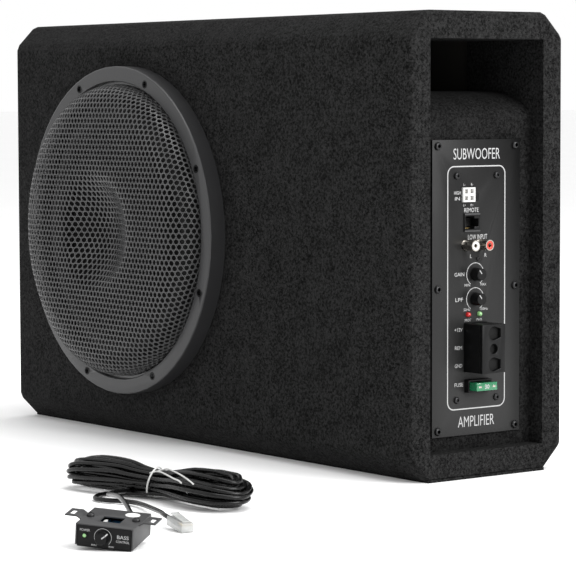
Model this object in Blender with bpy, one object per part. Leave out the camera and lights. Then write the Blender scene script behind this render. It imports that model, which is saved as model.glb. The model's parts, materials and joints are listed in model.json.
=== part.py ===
"""A powered car subwoofer: a carpeted slot-port box with a ten-inch driver behind a dished mesh
grille, an amplifier panel sunk in one end, and a wired level remote on its cable.

Metres, +Z up. The origin is on the floor under the middle of the box, +X runs along the length
towards the amplifier end, and the grille faces -Y.
"""

import math

import bmesh
import bpy
from mathutils import Euler, Matrix, Vector

for item in list(bpy.data.objects):
    bpy.data.objects.remove(item)

# ---------------------------------------------------------------- driving dimensions
FIT = 0.0003  # clearance between two pieces that touch

# The box
LENGTH = 0.560
HEIGHT = 0.356
DEPTH = 0.156
CHAMFER = 0.019  # along the four long edges
CARPET = 0.0025
CARPET_EDGE = 0.003  # softness of the carpeted corners
BOARD = 0.016
RECESS = 0.015  # the amplifier end's carpeted bulkhead behind the end face
PORT_HEIGHT = 0.0395
LIP_DEPTH = 0.057  # the rolled lip under the port mouth
LIP_RISE = 0.0215
PORT_CLEAR = 0.004  # between the port shelf and the grille ring, seen from the front

# The driver and its grille
BLIND_MARGIN = 0.046  # from the blind end to the grille ring
CUTOUT_R = 0.118
RING_R = 0.140
RING_OPENING_R = 0.127
RING_PROUD = 0.0155
RING_LIP = 0.0040
SEAT_R = 0.1290  # inside the ring, behind its lip
BOLT_R = 0.1325
BOLT_TURN = math.radians(24.5)
BOLTS = 8
SCREW_R = 0.0016
SCREW_HEAD_R = 0.0022
FLANGE_R = 0.1370
FLANGE = 0.0025
GASKET = 0.0009
MESH = 0.0010
MESH_PROUD = 0.0374
MESH_WALL_R = 0.1246
DISH_R = 0.0445  # the hollow in the middle of the mesh
DISH_DEPTH = 0.0189
COIL_R = 0.0258
MAGNET_R = 0.066
STROKE = 0.008

# The amplifier panel
PANEL_W = 0.0886
PANEL_H = 0.2266
PANEL_Z = 0.14515
PANEL = 0.0018
JACKS_Y = (-0.0108, 0.0034)
JACKS_Z = 0.1778
JACK_R = 0.00415
JACK_PROUD = 0.0119
KNOB_Y = -0.0012
KNOB_Z = (0.1553, 0.1362)  # level, filter
KNOB_R = 0.0050
KNOB_TIP_R = 0.0046
KNOB_PROUD = 0.0084
KNOB_REST = math.radians(38.0)  # the pointers stand left of straight up
STEM_R = 0.0025
LED_R = 0.0019
LED_PROUD = 0.0026
LED_Z = 0.1245
LED_Y = (-0.0084, 0.0031)  # warning, power
TERMINAL_Y = -0.0006
TERMINAL_Z = 0.0992
TERMINAL_W = 0.0233
TERMINAL_H = 0.0372
TERMINAL_PROUD = 0.0212
TERMINAL_PITCH = 0.0119
TERMINAL_WALL = 0.0016
FUSE_Y = 0.0003
FUSE_Z = 0.0695
FUSE_W = 0.0206
FUSE_T = 0.0062
FUSE_PROUD = 0.0124
HOLDER_PROUD = 0.0045
LINE_IN = (-0.00845, 0.2164, 0.0123, 0.0111)  # middle y, middle z, width, height
REMOTE_IN = (-0.00465, 0.1950, 0.0159, 0.0136)

# The wired remote and its cable
REMOTE_AT = (0.3656, -0.3989)
REMOTE_TILT = math.radians(6.0)  # its back sits a little up
REMOTE_LEAN = math.radians(4.4)
REMOTE_HEADING = math.radians(39.6)
REMOTE_W = 0.0390
REMOTE_D = 0.0400
REMOTE_H = 0.0150
REMOTE_WALL = 0.0012
REMOTE_KNOB_X = -0.0007
REMOTE_KNOB_R = 0.0042
REMOTE_KNOB_REST = math.radians(50.0)  # its pointer stands right of straight up
REMOTE_LED_X = -0.0131
REMOTE_EXIT_X = 0.0038
CABLE_R = 0.0019
HANK_AT = (0.2146, -0.2610)
HANK_HEADING = math.radians(10.0)
HANK_LENGTH = 0.188
PLUG_AT = (0.3330, -0.3295)
PLUG_LEAN = math.radians(8.0)
PLUG_HEADING = math.radians(-6.0)
PLUG_L = 0.0215
PLUG_W = 0.0096
PLUG_H = 0.0066

# ---------------------------------------------------------------- worked out from those
END_X = LENGTH / 2
DRIVER_X = -END_X + BLIND_MARGIN + RING_R
FRONT_Y = -DEPTH / 2
MID_Z = HEIGHT / 2
INNER_Y = DEPTH / 2 - CARPET - BOARD
INNER_LOW = CARPET + BOARD
INNER_TOP = HEIGHT - CARPET - BOARD
OPEN_Y = INNER_Y - CARPET
OPEN_LOW = INNER_LOW + CARPET
OPEN_TOP = INNER_TOP - CARPET
FACE_X = END_X - RECESS
SHELF_Z = OPEN_TOP - PORT_HEIGHT
LIP_Z = SHELF_Z - LIP_RISE
FLAT_Y = DEPTH / 2 - CHAMFER
PANEL_BACK = FACE_X + FIT
PANEL_FACE = PANEL_BACK + PANEL
BOARD_X = PANEL_BACK - 0.0112  # the circuit board's front face
PORT_END = DRIVER_X + RING_R + PORT_CLEAR
CHASSIS_Y = PANEL_W / 2 - 0.0085
CHASSIS_LOW = PANEL_Z - PANEL_H / 2 + 0.010
CHASSIS_TOP = PANEL_Z + PANEL_H / 2 - 0.010
CHASSIS_BACK = PANEL_BACK - 0.050

# ---------------------------------------------------------------- materials
FINISHES = {
    "carpet": ((0.020, 0.020, 0.022), 0.95, 0.0),
    "board": ((0.36, 0.24, 0.14), 0.80, 0.0),
    "ring_plastic": ((0.075, 0.076, 0.078), 0.55, 0.0),
    "mesh_paint": ((0.10, 0.10, 0.10), 0.45, 0.3),
    "black_steel": ((0.020, 0.020, 0.021), 0.50, 0.6),
    "black_plastic": ((0.012, 0.012, 0.013), 0.45, 0.0),
    "cover_steel": ((0.16, 0.16, 0.16), 0.45, 0.3),
    "rubber": ((0.015, 0.015, 0.015), 0.70, 0.0),
    "paper": ((0.030, 0.030, 0.032), 0.85, 0.0),
    "steel": ((0.45, 0.45, 0.46), 0.35, 1.0),
    "ferrite": ((0.050, 0.050, 0.052), 0.75, 0.0),
    "copper": ((0.60, 0.28, 0.12), 0.40, 1.0),
    "cloth": ((0.45, 0.30, 0.10), 0.90, 0.0),
    "panel_paint": ((0.035, 0.035, 0.037), 0.45, 0.3),
    "aluminium": ((0.60, 0.61, 0.62), 0.40, 1.0),
    "green_board": ((0.02, 0.16, 0.06), 0.50, 0.0),
    "blue_board": ((0.03, 0.22, 0.50), 0.45, 0.0),
    "nickel": ((0.66, 0.65, 0.62), 0.25, 1.0),
    "white_nylon": ((0.85, 0.85, 0.84), 0.50, 0.0),
    "red_lens": ((0.75, 0.03, 0.03), 0.25, 0.0),
    "green_lens": ((0.35, 0.85, 0.30), 0.25, 0.0),
    "green_fuse": ((0.03, 0.45, 0.22), 0.20, 0.0),
    "clear_plastic": ((0.80, 0.80, 0.79), 0.15, 0.0),
    "wire": ((0.30, 0.02, 0.02), 0.45, 0.0),
}


def finish(name):
    """The named Principled material, made the first time it is asked for."""
    known = bpy.data.materials.get(name)
    if known:
        return known
    colour, roughness, metallic = FINISHES[name]
    made = bpy.data.materials.new(name)
    made.use_nodes = True
    shader = made.node_tree.nodes["Principled BSDF"]
    shader.inputs["Base Color"].default_value = (*colour, 1.0)
    shader.inputs["Roughness"].default_value = roughness
    shader.inputs["Metallic"].default_value = metallic
    made.diffuse_color = (*colour, 1.0)
    return made


# ---------------------------------------------------------------- shaping tools
# Each lays a shape drawn along local Z out along one of the object's directions.
ALONG_X = Matrix(((0, 0, 1), (1, 0, 0), (0, 1, 0))).to_4x4()
ALONG_Y = Matrix(((1, 0, 0), (0, 0, 1), (0, 1, 0))).to_4x4()
OUT_FRONT = Matrix.Rotation(math.pi / 2, 4, "X")
OUT_END = Matrix.Rotation(math.pi / 2, 4, "Y")


def prism(outline, low, high, lay=None):
    """A flat outline carried from low to high."""
    shape = bmesh.new()
    base = shape.faces.new([shape.verts.new((u, v, low)) for u, v in outline])
    carried = bmesh.ops.extrude_face_region(shape, geom=[base])["geom"]
    moved = [part for part in carried if isinstance(part, bmesh.types.BMVert)]
    bmesh.ops.translate(shape, verts=moved, vec=(0, 0, high - low))
    if lay:
        bmesh.ops.transform(shape, matrix=lay, verts=shape.verts)
    bmesh.ops.recalc_face_normals(shape, faces=shape.faces)
    return shape


def block(x, y, z):
    """A box between three pairs of limits."""
    return prism([(x[0], y[0]), (x[1], y[0]), (x[1], y[1]), (x[0], y[1])], z[0], z[1])


def lathe(profile, steps, lay=None):
    """A profile of (radius, height) turned about local Z."""
    shape = bmesh.new()
    points = [shape.verts.new((radius, 0.0, height)) for radius, height in profile]
    edges = [shape.edges.new(pair) for pair in zip(points, points[1:])]
    if min(profile[0][0], profile[-1][0]) > 1e-9:
        edges.append(shape.edges.new((points[-1], points[0])))
    bmesh.ops.spin(
        shape,
        geom=points + edges,
        cent=(0, 0, 0),
        axis=(0, 0, 1),
        angle=2 * math.pi,
        steps=steps,
        use_merge=True,
    )
    bmesh.ops.remove_doubles(shape, verts=shape.verts, dist=1e-6)
    if lay:
        bmesh.ops.transform(shape, matrix=lay, verts=shape.verts)
    bmesh.ops.recalc_face_normals(shape, faces=shape.faces)
    return shape


def rod(radius, low, high, steps, lay=None):
    """A plain round bar."""
    return lathe([(0.0, low), (radius, low), (radius, high), (0.0, high)], steps, lay)


def soften(shape, width, segments=1):
    """Rounds every sharp edge of a shape."""
    sharp = [edge for edge in shape.edges if edge.calc_face_angle(0.0) > 0.5]
    bmesh.ops.bevel(
        shape,
        geom=sharp,
        offset=width,
        segments=segments,
        profile=0.5,
        affect="EDGES",
        clamp_overlap=True,
        material=-1,
    )
    return shape


def gather(shapes, spots=None):
    """Several shapes in one, each moved to its own spot when spots are given."""
    whole = bpy.data.meshes.new("gathered")
    every = bmesh.new()
    for index, shape in enumerate(shapes):
        if spots:
            bmesh.ops.translate(shape, verts=shape.verts, vec=spots[index])
        shape.to_mesh(whole)
        every.from_mesh(whole)
        shape.free()
    bpy.data.meshes.remove(whole)
    return every


def place(name, shape, material, at=(0, 0, 0), turn=(0, 0, 0), rounded=False):
    """Makes the shape an object whose origin is at the given spot."""
    mesh = bpy.data.meshes.new(name)
    shape.to_mesh(mesh)
    shape.free()
    made = bpy.data.objects.new(name, mesh)
    bpy.context.scene.collection.objects.link(made)
    made.location = at
    made.rotation_euler = turn
    mesh.materials.append(finish(material))
    if rounded:
        mesh.shade_smooth()
    return made


def helper(name, shape, at=(0, 0, 0), turn=(0, 0, 0)):
    """A cutting or joining shape, which is no part of the object."""
    made = place(name, shape, "black_plastic", at, turn)
    made.hide_render = True
    made.display_type = "WIRE"
    return made


def spot_on(at, turn, point):
    """Where a point of a moved and turned piece lies on the whole object."""
    return Vector(at) + Euler(turn).to_matrix() @ Vector(point)


def combine(target, operation, other):
    change = target.modifiers.new(other.name, "BOOLEAN")
    change.operation = operation
    change.solver = "EXACT"
    change.object = other
    return target


def cut(target, other):
    return combine(target, "DIFFERENCE", other)


def join(target, other):
    return combine(target, "UNION", other)


def around(count, radius, turn=0.0):
    """Points evenly round a circle."""
    angles = [turn + 2 * math.pi * index / count for index in range(count)]
    return [(radius * math.cos(angle), radius * math.sin(angle)) for angle in angles]


def arc(middle, radius, start, end, count):
    """Points along an arc between two angles in degrees."""
    steps = [math.radians(start + (end - start) * k / count) for k in range(count + 1)]
    return [
        (middle[0] + radius * math.cos(step), middle[1] + radius * math.sin(step))
        for step in steps
    ]


def inset_line(points, by):
    """The line moved square to itself by the given distance, to its left-hand side."""
    moved = []
    for index, point in enumerate(points):
        before = Vector(points[max(index - 1, 0)])
        after = Vector(points[min(index + 1, len(points) - 1)])
        along = (after - before).normalized()
        moved.append((point[0] - along.y * by, point[1] + along.x * by))
    return moved


def smooth_path(points, per_span):
    """A Catmull-Rom path through the given points."""
    spots = [Vector(point) for point in points]
    ends = [2 * spots[0] - spots[1], *spots, 2 * spots[-1] - spots[-2]]
    path = []
    for a, b, c, d in zip(ends, ends[1:], ends[2:], ends[3:]):
        for step in range(per_span):
            t = step / per_span
            first = 2 * b + (c - a) * t
            second = (2 * a - 5 * b + 4 * c - d) * t**2
            third = (3 * b - a - 3 * c + d) * t**3
            path.append((first + second + third) / 2)
    path.append(spots[-1])
    return path


def tube(name, points, radius, material, per_span=4, resolution=2):
    """A round cord through the given points."""
    line = bpy.data.curves.new(name, "CURVE")
    line.dimensions = "3D"
    line.bevel_depth = radius
    line.bevel_resolution = resolution
    line.use_fill_caps = True
    path = smooth_path(points, per_span)
    spline = line.splines.new("POLY")
    spline.points.add(len(path) - 1)
    for target, spot in zip(spline.points, path):
        target.co = (*spot, 1.0)
    line.materials.append(finish(material))
    made = bpy.data.objects.new(name, line)
    bpy.context.scene.collection.objects.link(made)
    return made


# ---------------------------------------------------------------- the box
def octagon(inset):
    """The box's section in (y, z), moved inwards by inset."""
    side = DEPTH / 2 - inset
    low = inset
    high = HEIGHT - inset
    corner = CHAMFER - inset * (2 - math.sqrt(2))
    return [
        (-side + corner, low),
        (side - corner, low),
        (side, low + corner),
        (side, high - corner),
        (side - corner, high),
        (-side + corner, high),
        (-side, high - corner),
        (-side, low + corner),
    ]


def lip_line(inset):
    """The bulkhead's outline in (x, z), from the foot of its face over the rolled lip."""
    middle_x = FACE_X - LIP_DEPTH
    line = [(FACE_X - inset, INNER_LOW + FIT)]
    for step in range(11):
        angle = math.radians(9 * step)
        across = (LIP_DEPTH - inset) * math.cos(angle)
        up = (LIP_RISE - inset) * math.sin(angle)
        line.append((middle_x + across, LIP_Z + up))
    return line


def driver_spots(radius):
    """The bolt spots on the baffle, as (x, y, z)."""
    spots = around(BOLTS, radius, BOLT_TURN)
    return [(DRIVER_X + u, FRONT_Y, MID_Z + v) for u, v in spots]


SCREW_CLEAR = SCREW_R + FIT
screw_bores = helper(
    "screw_bores",
    gather(
        [rod(SCREW_CLEAR, -0.024, 0.020, 8, OUT_FRONT) for _ in range(BOLTS)],
        driver_spots(BOLT_R),
    ),
)
driver_hole = helper(
    "driver_hole",
    rod(CUTOUT_R, -0.030, 0.010, 56, OUT_FRONT),
    (DRIVER_X, FRONT_Y, MID_Z),
)

wrap = place(
    "carpet_wrap",
    soften(prism(octagon(0.0), -END_X, END_X, ALONG_X), CARPET_EDGE),
    "carpet",
)
liner_x = FACE_X - LIP_DEPTH - 0.018
boards_room = prism(
    octagon(CARPET - FIT), -END_X + CARPET - FIT, END_X - CARPET + FIT, ALONG_X
)
cut(wrap, helper("boards_room", boards_room))
mouth = block(
    (END_X - 0.01, END_X + 0.01), (-OPEN_Y, OPEN_Y), (OPEN_LOW, OPEN_TOP)
)
cut(wrap, helper("mouth", mouth))
liner = helper(
    "liner",
    block(
        (liner_x, END_X - CARPET / 2),
        (-INNER_Y + FIT, INNER_Y - FIT),
        (INNER_LOW + FIT, INNER_TOP - FIT),
    ),
)
liner_room = helper(
    "liner_room",
    block(
        (liner_x - 0.01, END_X + 0.01), (-OPEN_Y, OPEN_Y), (OPEN_LOW, OPEN_TOP)
    ),
)
behind_lip = [
    (x + FIT, z + FIT) if index else (x + FIT, z - 0.01)
    for index, (x, z) in enumerate(lip_line(0.0))
]
behind_lip += [(liner_x - 0.02, SHELF_Z + FIT), (liner_x - 0.02, INNER_LOW - 0.0097)]
bulkhead_room = helper(
    "bulkhead_room",
    prism(behind_lip, -INNER_Y - 0.001, INNER_Y + 0.001, ALONG_Y),
)
cut(liner, liner_room)
cut(liner, bulkhead_room)
join(wrap, liner)
base_room = block(
    (-END_X - 0.01, END_X + 0.01), (-FLAT_Y - FIT, FLAT_Y + FIT), (-0.01, CARPET)
)
cut(wrap, helper("base_room", base_room))
cut(wrap, driver_hole)
cut(wrap, screw_bores)

place(
    "carpet_base",
    block((-END_X, END_X), (-FLAT_Y, FLAT_Y), (0.0, CARPET - FIT)),
    "carpet",
)

recess_line = lip_line(0.0)
recess_back = lip_line(CARPET - FIT)
carpet_end = liner_x - 0.030
recess_outline = recess_line + [(carpet_end, SHELF_Z)]
recess_outline += [(carpet_end, SHELF_Z - CARPET + FIT)] + recess_back[::-1]
chassis_room = helper(
    "chassis_room",
    block(
        (CHASSIS_BACK - 0.01, PANEL_BACK + 0.01),
        (-CHASSIS_Y - 0.0015, CHASSIS_Y + 0.0015),
        (CHASSIS_LOW - 0.0015, CHASSIS_TOP + 0.0015),
    ),
)
recess_carpet = place(
    "recess_carpet",
    prism(recess_outline, -INNER_Y + FIT, INNER_Y - FIT, ALONG_Y),
    "carpet",
)
cut(recess_carpet, chassis_room)

board_end = END_X - CARPET
board_outer = octagon(CARPET)
top_z = HEIGHT - CARPET
side_y = DEPTH / 2 - CARPET
corner = side_y - board_outer[1][0]
foot = corner - BOARD


def lid(low):
    """The top or bottom board's section, as wide as the chamfers leave it."""
    flat = side_y - corner
    wide = flat + BOARD
    if low:
        return [(-flat, CARPET), (flat, CARPET), (wide, INNER_LOW), (-wide, INNER_LOW)]
    return [(-wide, INNER_TOP), (wide, INNER_TOP), (flat, top_z), (-flat, top_z)]


def wall(side):
    """The baffle's or rear board's section."""
    outer = side * side_y
    nip = side * (side_y - foot + FIT)
    inner = side * INNER_Y
    return [
        (outer, CARPET + corner),
        (nip, INNER_LOW + FIT),
        (inner, INNER_LOW + FIT),
        (inner, INNER_TOP - FIT),
        (nip, INNER_TOP - FIT),
        (outer, top_z - corner),
    ]


place("bottom_panel", prism(lid(True), -board_end, board_end, ALONG_X), "board")
place("top_panel", prism(lid(False), -board_end, board_end, ALONG_X), "board")
place("rear_panel", prism(wall(1), -board_end, board_end, ALONG_X), "board")
baffle = place("baffle_panel", prism(wall(-1), -board_end, board_end, ALONG_X), "board")
cut(baffle, driver_hole)
cut(baffle, screw_bores)
inside_y = (-INNER_Y + FIT, INNER_Y - FIT)
inside_z = (INNER_LOW + FIT, INNER_TOP - FIT)
place(
    "blind_end_panel",
    block((-board_end, -board_end + BOARD), inside_y, inside_z),
    "board",
)

bulkhead_line = lip_line(CARPET)
lip_back = FACE_X - LIP_DEPTH
bulkhead_outline = bulkhead_line + [
    (lip_back, SHELF_Z - CARPET - BOARD),
    (FACE_X - CARPET - BOARD, SHELF_Z - CARPET - BOARD),
    (FACE_X - CARPET - BOARD, INNER_LOW + FIT),
]
bulkhead = place(
    "amp_bulkhead", prism(bulkhead_outline, *inside_y, ALONG_Y), "board"
)
cut(bulkhead, chassis_room)
place(
    "port_shelf",
    block(
        (PORT_END, lip_back - FIT),
        inside_y,
        (SHELF_Z - CARPET - BOARD, SHELF_Z - CARPET),
    ),
    "board",
)

# ---------------------------------------------------------------- the driver
# Heights run outwards from the baffle's carpet; below zero is inside the box.
driver_at = (DRIVER_X, FRONT_Y, MID_Z)
flange_low = FIT + GASKET + FIT
flange_top = flange_low + FLANGE
gasket = place(
    "driver_gasket",
    lathe(
        [
            (CUTOUT_R + 0.001, FIT),
            (FLANGE_R, FIT),
            (FLANGE_R, FIT + GASKET),
            (CUTOUT_R + 0.001, FIT + GASKET),
        ],
        56,
        OUT_FRONT,
    ),
    "rubber",
    driver_at,
    rounded=True,
)
cut(gasket, screw_bores)

SPIDER_D = -0.0500
FLOOR_D = -0.0762
SHEET = 0.0022
basket = place(
    "driver_basket",
    lathe(
        [
            (FLANGE_R, flange_low),
            (FLANGE_R, flange_top),
            (0.1090, flange_top),
            (0.1060, -0.0060),
            (0.0800, SPIDER_D),
            (0.0660, SPIDER_D),
            (0.0580, FLOOR_D),
            (COIL_R + 0.0027, FLOOR_D),
            (COIL_R + 0.0027, FLOOR_D - SHEET),
            (0.0605, FLOOR_D - SHEET),
            (0.0685, SPIDER_D - SHEET),
            (0.0820, SPIDER_D - SHEET),
            (0.1085, -0.0078),
            (0.1120, flange_low),
        ],
        48,
        OUT_FRONT,
    ),
    "black_steel",
    driver_at,
    rounded=True,
)
windows = []
for index in range(6):
    middle = 30 + 60 * index
    sector = arc((0, 0), 0.125, middle - 20, middle + 20, 4)
    sector += arc((0, 0), 0.050, middle + 20, middle - 20, 2)
    windows.append(prism(sector, -0.0440, -0.0120, OUT_FRONT))
cut(basket, helper("basket_windows", gather(windows), driver_at))
cut(basket, screw_bores)

roll = (0.1005, flange_top + FIT)
roll_r = 0.0098
skin = 0.0010
surround_line = [(0.1170, roll[1]), (0.1170, roll[1] + skin)]
surround_line += arc((roll[0], roll[1] + skin), roll_r, 0, 180, 5)
surround_line += [(0.0860, roll[1] + skin), (0.0860, roll[1])]
surround_line += arc(roll, roll_r - skin, 180, 0, 5)
place(
    "surround",
    lathe(surround_line, 40, OUT_FRONT),
    "rubber",
    driver_at,
    rounded=True,
)

cone_top = roll[1] - FIT
NECK_R = COIL_R + 0.0012
NECK_D = -0.0350
place(
    "cone",
    lathe(
        [
            (0.0905, cone_top),
            (0.0855, cone_top - 0.0005),
            (NECK_R, NECK_D),
            (NECK_R, NECK_D - 0.0012),
            (0.0860, cone_top - 0.0016),
            (0.0905, cone_top - 0.0010),
        ],
        48,
        OUT_FRONT,
    ),
    "paper",
    driver_at,
    rounded=True,
)
CAP_R = 0.040
CAP_RISE = 0.0138
cap_low = -0.0258
cap_ball = (CAP_R**2 + CAP_RISE**2) / (2 * CAP_RISE)
cap_half = math.degrees(math.asin(CAP_R / cap_ball))
cap_line = arc((0.0, cap_low + CAP_RISE - cap_ball), cap_ball, 90 - cap_half, 90, 4)
cap_under = arc(
    (0.0, cap_low + CAP_RISE - cap_ball), cap_ball - 0.0008, 90, 90 - cap_half, 4
)
cap_line[-1] = (0.0, cap_line[-1][1])
cap_under[0] = (0.0, cap_under[0][1])
place(
    "dust_cap",
    lathe(cap_under + cap_line, 32, OUT_FRONT),
    "paper",
    driver_at,
    rounded=True,
)

COIL = 0.0008
place(
    "voice_coil",
    lathe(
        [
            (COIL_R, -0.0870),
            (COIL_R + COIL, -0.0870),
            (COIL_R + COIL, -0.0300),
            (COIL_R, -0.0300),
        ],
        32,
        OUT_FRONT,
    ),
    "copper",
    driver_at,
    rounded=True,
)
spider_in = COIL_R + COIL + FIT
spider_rise = SPIDER_D + FIT
spider_line = [(spider_in, spider_rise + 0.0006)]
for index in range(7):
    radius = 0.0310 + 0.0340 * index / 6
    spider_line.append((radius, spider_rise + 0.0004 + 0.0014 * (index % 2)))
spider_line += [(0.0680, spider_rise), (0.0785, spider_rise)]
spider_top = [(radius, rise + 0.0008) for radius, rise in spider_line]
place(
    "spider",
    lathe(spider_line + spider_top[::-1], 24, OUT_FRONT),
    "cloth",
    driver_at,
    rounded=True,
)

plate_top = FLOOR_D - SHEET - FIT
plate_low = plate_top - 0.0060
magnet_low = plate_low - FIT - 0.0200
place(
    "top_plate",
    lathe(
        [
            (COIL_R + 0.0025, plate_low),
            (0.0600, plate_low),
            (0.0600, plate_top),
            (COIL_R + 0.0025, plate_top),
        ],
        40,
        OUT_FRONT,
    ),
    "steel",
    driver_at,
    rounded=True,
)
place(
    "ring_magnet",
    lathe(
        [
            (0.0340, magnet_low),
            (MAGNET_R, magnet_low),
            (MAGNET_R, plate_low - FIT),
            (0.0340, plate_low - FIT),
        ],
        40,
        OUT_FRONT,
    ),
    "ferrite",
    driver_at,
    rounded=True,
)
pole_r = COIL_R - 0.0013
back_top = magnet_low - FIT
place(
    "back_plate",
    lathe(
        [
            (0.0090, back_top - 0.0070),
            (0.0600, back_top - 0.0070),
            (0.0600, back_top),
            (pole_r, back_top),
            (pole_r, plate_top),
            (0.0090, plate_top),
        ],
        40,
        OUT_FRONT,
    ),
    "steel",
    driver_at,
    rounded=True,
)

# ---------------------------------------------------------------- the ring and the mesh
seat_top = RING_PROUD - RING_LIP
rim = 0.0014
ring_line = [(RING_R, FIT)]
ring_line += arc((RING_R - rim, RING_PROUD - rim), rim, 0, 90, 2)
ring_line += arc(
    (RING_OPENING_R + rim / 2, RING_PROUD - rim / 2), rim / 2, 90, 180, 1
)
ring_line += [
    (RING_OPENING_R, seat_top),
    (SEAT_R, seat_top),
    (SEAT_R, flange_top + FIT),
    (FLANGE_R + FIT, flange_top + FIT),
    (FLANGE_R + FIT, FIT),
]
ring = place(
    "grille_ring",
    lathe(ring_line, 56, OUT_FRONT),
    "ring_plastic",
    driver_at,
    rounded=True,
)
cut(ring, screw_bores)
HEAD_SEAT = RING_PROUD - 0.0065
cut(
    ring,
    helper(
        "screw_sinks",
        gather(
            [
                rod(SCREW_HEAD_R + FIT, HEAD_SEAT, RING_PROUD + 0.01, 10, OUT_FRONT)
                for _ in range(BOLTS)
            ],
            driver_spots(BOLT_R),
        ),
    ),
)
screw_line = [
    (0.0, -0.0165),
    (SCREW_R * 0.5, -0.0165),
    (SCREW_R, -0.0145),
    (SCREW_R, HEAD_SEAT + FIT),
    (SCREW_HEAD_R, HEAD_SEAT + FIT),
    (SCREW_HEAD_R, HEAD_SEAT + 0.0020),
    (SCREW_HEAD_R * 0.8, HEAD_SEAT + 0.0025),
    (SCREW_HEAD_R * 0.5, HEAD_SEAT + 0.0025),
    (SCREW_HEAD_R * 0.4, HEAD_SEAT + 0.0012),
    (0.0, HEAD_SEAT + 0.0012),
]
for number, spot in enumerate(driver_spots(BOLT_R), 1):
    place(
        f"ring_screw_{number}",
        lathe(screw_line, 8, OUT_FRONT),
        "black_steel",
        spot,
        rounded=True,
    )

mesh_flange_top = seat_top - FIT
spacer_low = flange_top + FIT
spacer_top = mesh_flange_top - MESH - FIT
place(
    "spacer_ring",
    lathe(
        [
            (CUTOUT_R + 0.0015, spacer_low),
            (SEAT_R - FIT, spacer_low),
            (SEAT_R - FIT, spacer_top),
            (CUTOUT_R + 0.0015, spacer_top),
        ],
        56,
        OUT_FRONT,
    ),
    "black_plastic",
    driver_at,
    rounded=True,
)

wall_r = MESH_WALL_R
dome = [
    (SEAT_R - FIT, mesh_flange_top),
    (wall_r, mesh_flange_top),
    (wall_r - 0.0004, MESH_PROUD * 0.46),
    (wall_r - 0.0020, MESH_PROUD * 0.63),
    (wall_r - 0.0054, MESH_PROUD * 0.77),
    (wall_r - 0.0106, MESH_PROUD * 0.88),
    (wall_r - 0.0180, MESH_PROUD * 0.952),
    (wall_r - 0.0290, MESH_PROUD * 0.988),
    (DISH_R + 0.0140, MESH_PROUD * 0.997),
    (DISH_R + 0.0060, MESH_PROUD * 0.986),
]
dish_ball = (DISH_R**2 + DISH_DEPTH**2) / (2 * DISH_DEPTH)
dish_low = MESH_PROUD * 0.975 - DISH_DEPTH
for share in (0.97, 0.76, 0.52, 0.27):
    radius = DISH_R * share
    drop = dish_ball - math.sqrt(dish_ball**2 - radius**2)
    dome.append((radius, dish_low + drop))
dome.append((0.0, dish_low))
under = inset_line(dome, MESH)
under[0] = (dome[0][0], dome[0][1] - MESH)
under[-1] = (0.0, dish_low - MESH)
place(
    "grille_mesh",
    lathe([*dome[::-1], *under], 44, OUT_FRONT),
    "mesh_paint",
    driver_at,
    rounded=True,
)

# ---------------------------------------------------------------- the amplifier
def slot(middle_y, middle_z, width, height, back, front, extra=0.0):
    """A box on the panel given by its middle and size, between two x limits."""
    half_w = width / 2 + extra
    half_h = height / 2 + extra
    return block(
        (back, front),
        (middle_y - half_w, middle_y + half_w),
        (middle_z - half_h, middle_z + half_h),
    )


def end_rod(radius, y, z, back, front, steps):
    """A round bar square to the panel."""
    bar = rod(radius, back, front, steps, OUT_END)
    bmesh.ops.translate(bar, verts=bar.verts, vec=(0, y, z))
    return bar


through = (PANEL_BACK - 0.01, PANEL_FACE + 0.01)
panel = place(
    "amp_panel",
    slot(0.0, PANEL_Z, PANEL_W, PANEL_H, PANEL_BACK, PANEL_FACE),
    "panel_paint",
)
openings = [
    slot(*LINE_IN, *through, FIT),
    slot(*REMOTE_IN, *through, FIT),
    slot(TERMINAL_Y, TERMINAL_Z, TERMINAL_W, TERMINAL_H, *through, FIT),
    slot(FUSE_Y, FUSE_Z, FUSE_W + 0.0032, FUSE_T + 0.0034, *through, FIT),
]
openings += [end_rod(JACK_R + FIT, y, JACKS_Z, *through, 24) for y in JACKS_Y]
openings += [end_rod(STEM_R + 0.0005, KNOB_Y, z, *through, 20) for z in KNOB_Z]
openings += [end_rod(LED_R + FIT, y, LED_Z, *through, 16) for y in LED_Y]
cut(panel, helper("panel_openings", gather(openings)))

chassis = place(
    "amp_chassis",
    block(
        (CHASSIS_BACK, PANEL_BACK - FIT),
        (-CHASSIS_Y, CHASSIS_Y),
        (CHASSIS_LOW, CHASSIS_TOP),
    ),
    "aluminium",
)
SHEET_METAL = 0.0015
chassis_inside = block(
    (CHASSIS_BACK + SHEET_METAL, PANEL_BACK + 0.01),
    (-CHASSIS_Y + SHEET_METAL, CHASSIS_Y - SHEET_METAL),
    (CHASSIS_LOW + SHEET_METAL, CHASSIS_TOP - SHEET_METAL),
)
cut(chassis, helper("chassis_inside", chassis_inside))
board_half = CHASSIS_Y - SHEET_METAL - FIT
place(
    "circuit_board",
    block(
        (BOARD_X - 0.0016, BOARD_X),
        (-board_half, board_half),
        (CHASSIS_LOW + SHEET_METAL + FIT, CHASSIS_TOP - SHEET_METAL - FIT),
    ),
    "green_board",
)
part_x = BOARD_X + FIT  # where parts on the board's front begin
rear_x = BOARD_X - 0.0016 - FIT  # and those on its back

core = block((rear_x - 0.026, rear_x), (-0.028, 0.004), (0.150, 0.190))
transformer = place("transformer", soften(core, 0.002), "ferrite")
bobbin = block((rear_x - 0.030, rear_x - 0.004), (-0.022, -0.002), (0.144, 0.196))
join(transformer, helper("bobbin", soften(bobbin, 0.002)))
can = [(0.0, -0.0300), (0.0102, -0.0300), (0.0110, -0.0292), (0.0110, 0.0), (0.0, 0.0)]
place(
    "capacitor",
    lathe(can, 24, OUT_END),
    "black_plastic",
    (rear_x, 0.014, 0.100),
    rounded=True,
)

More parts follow.
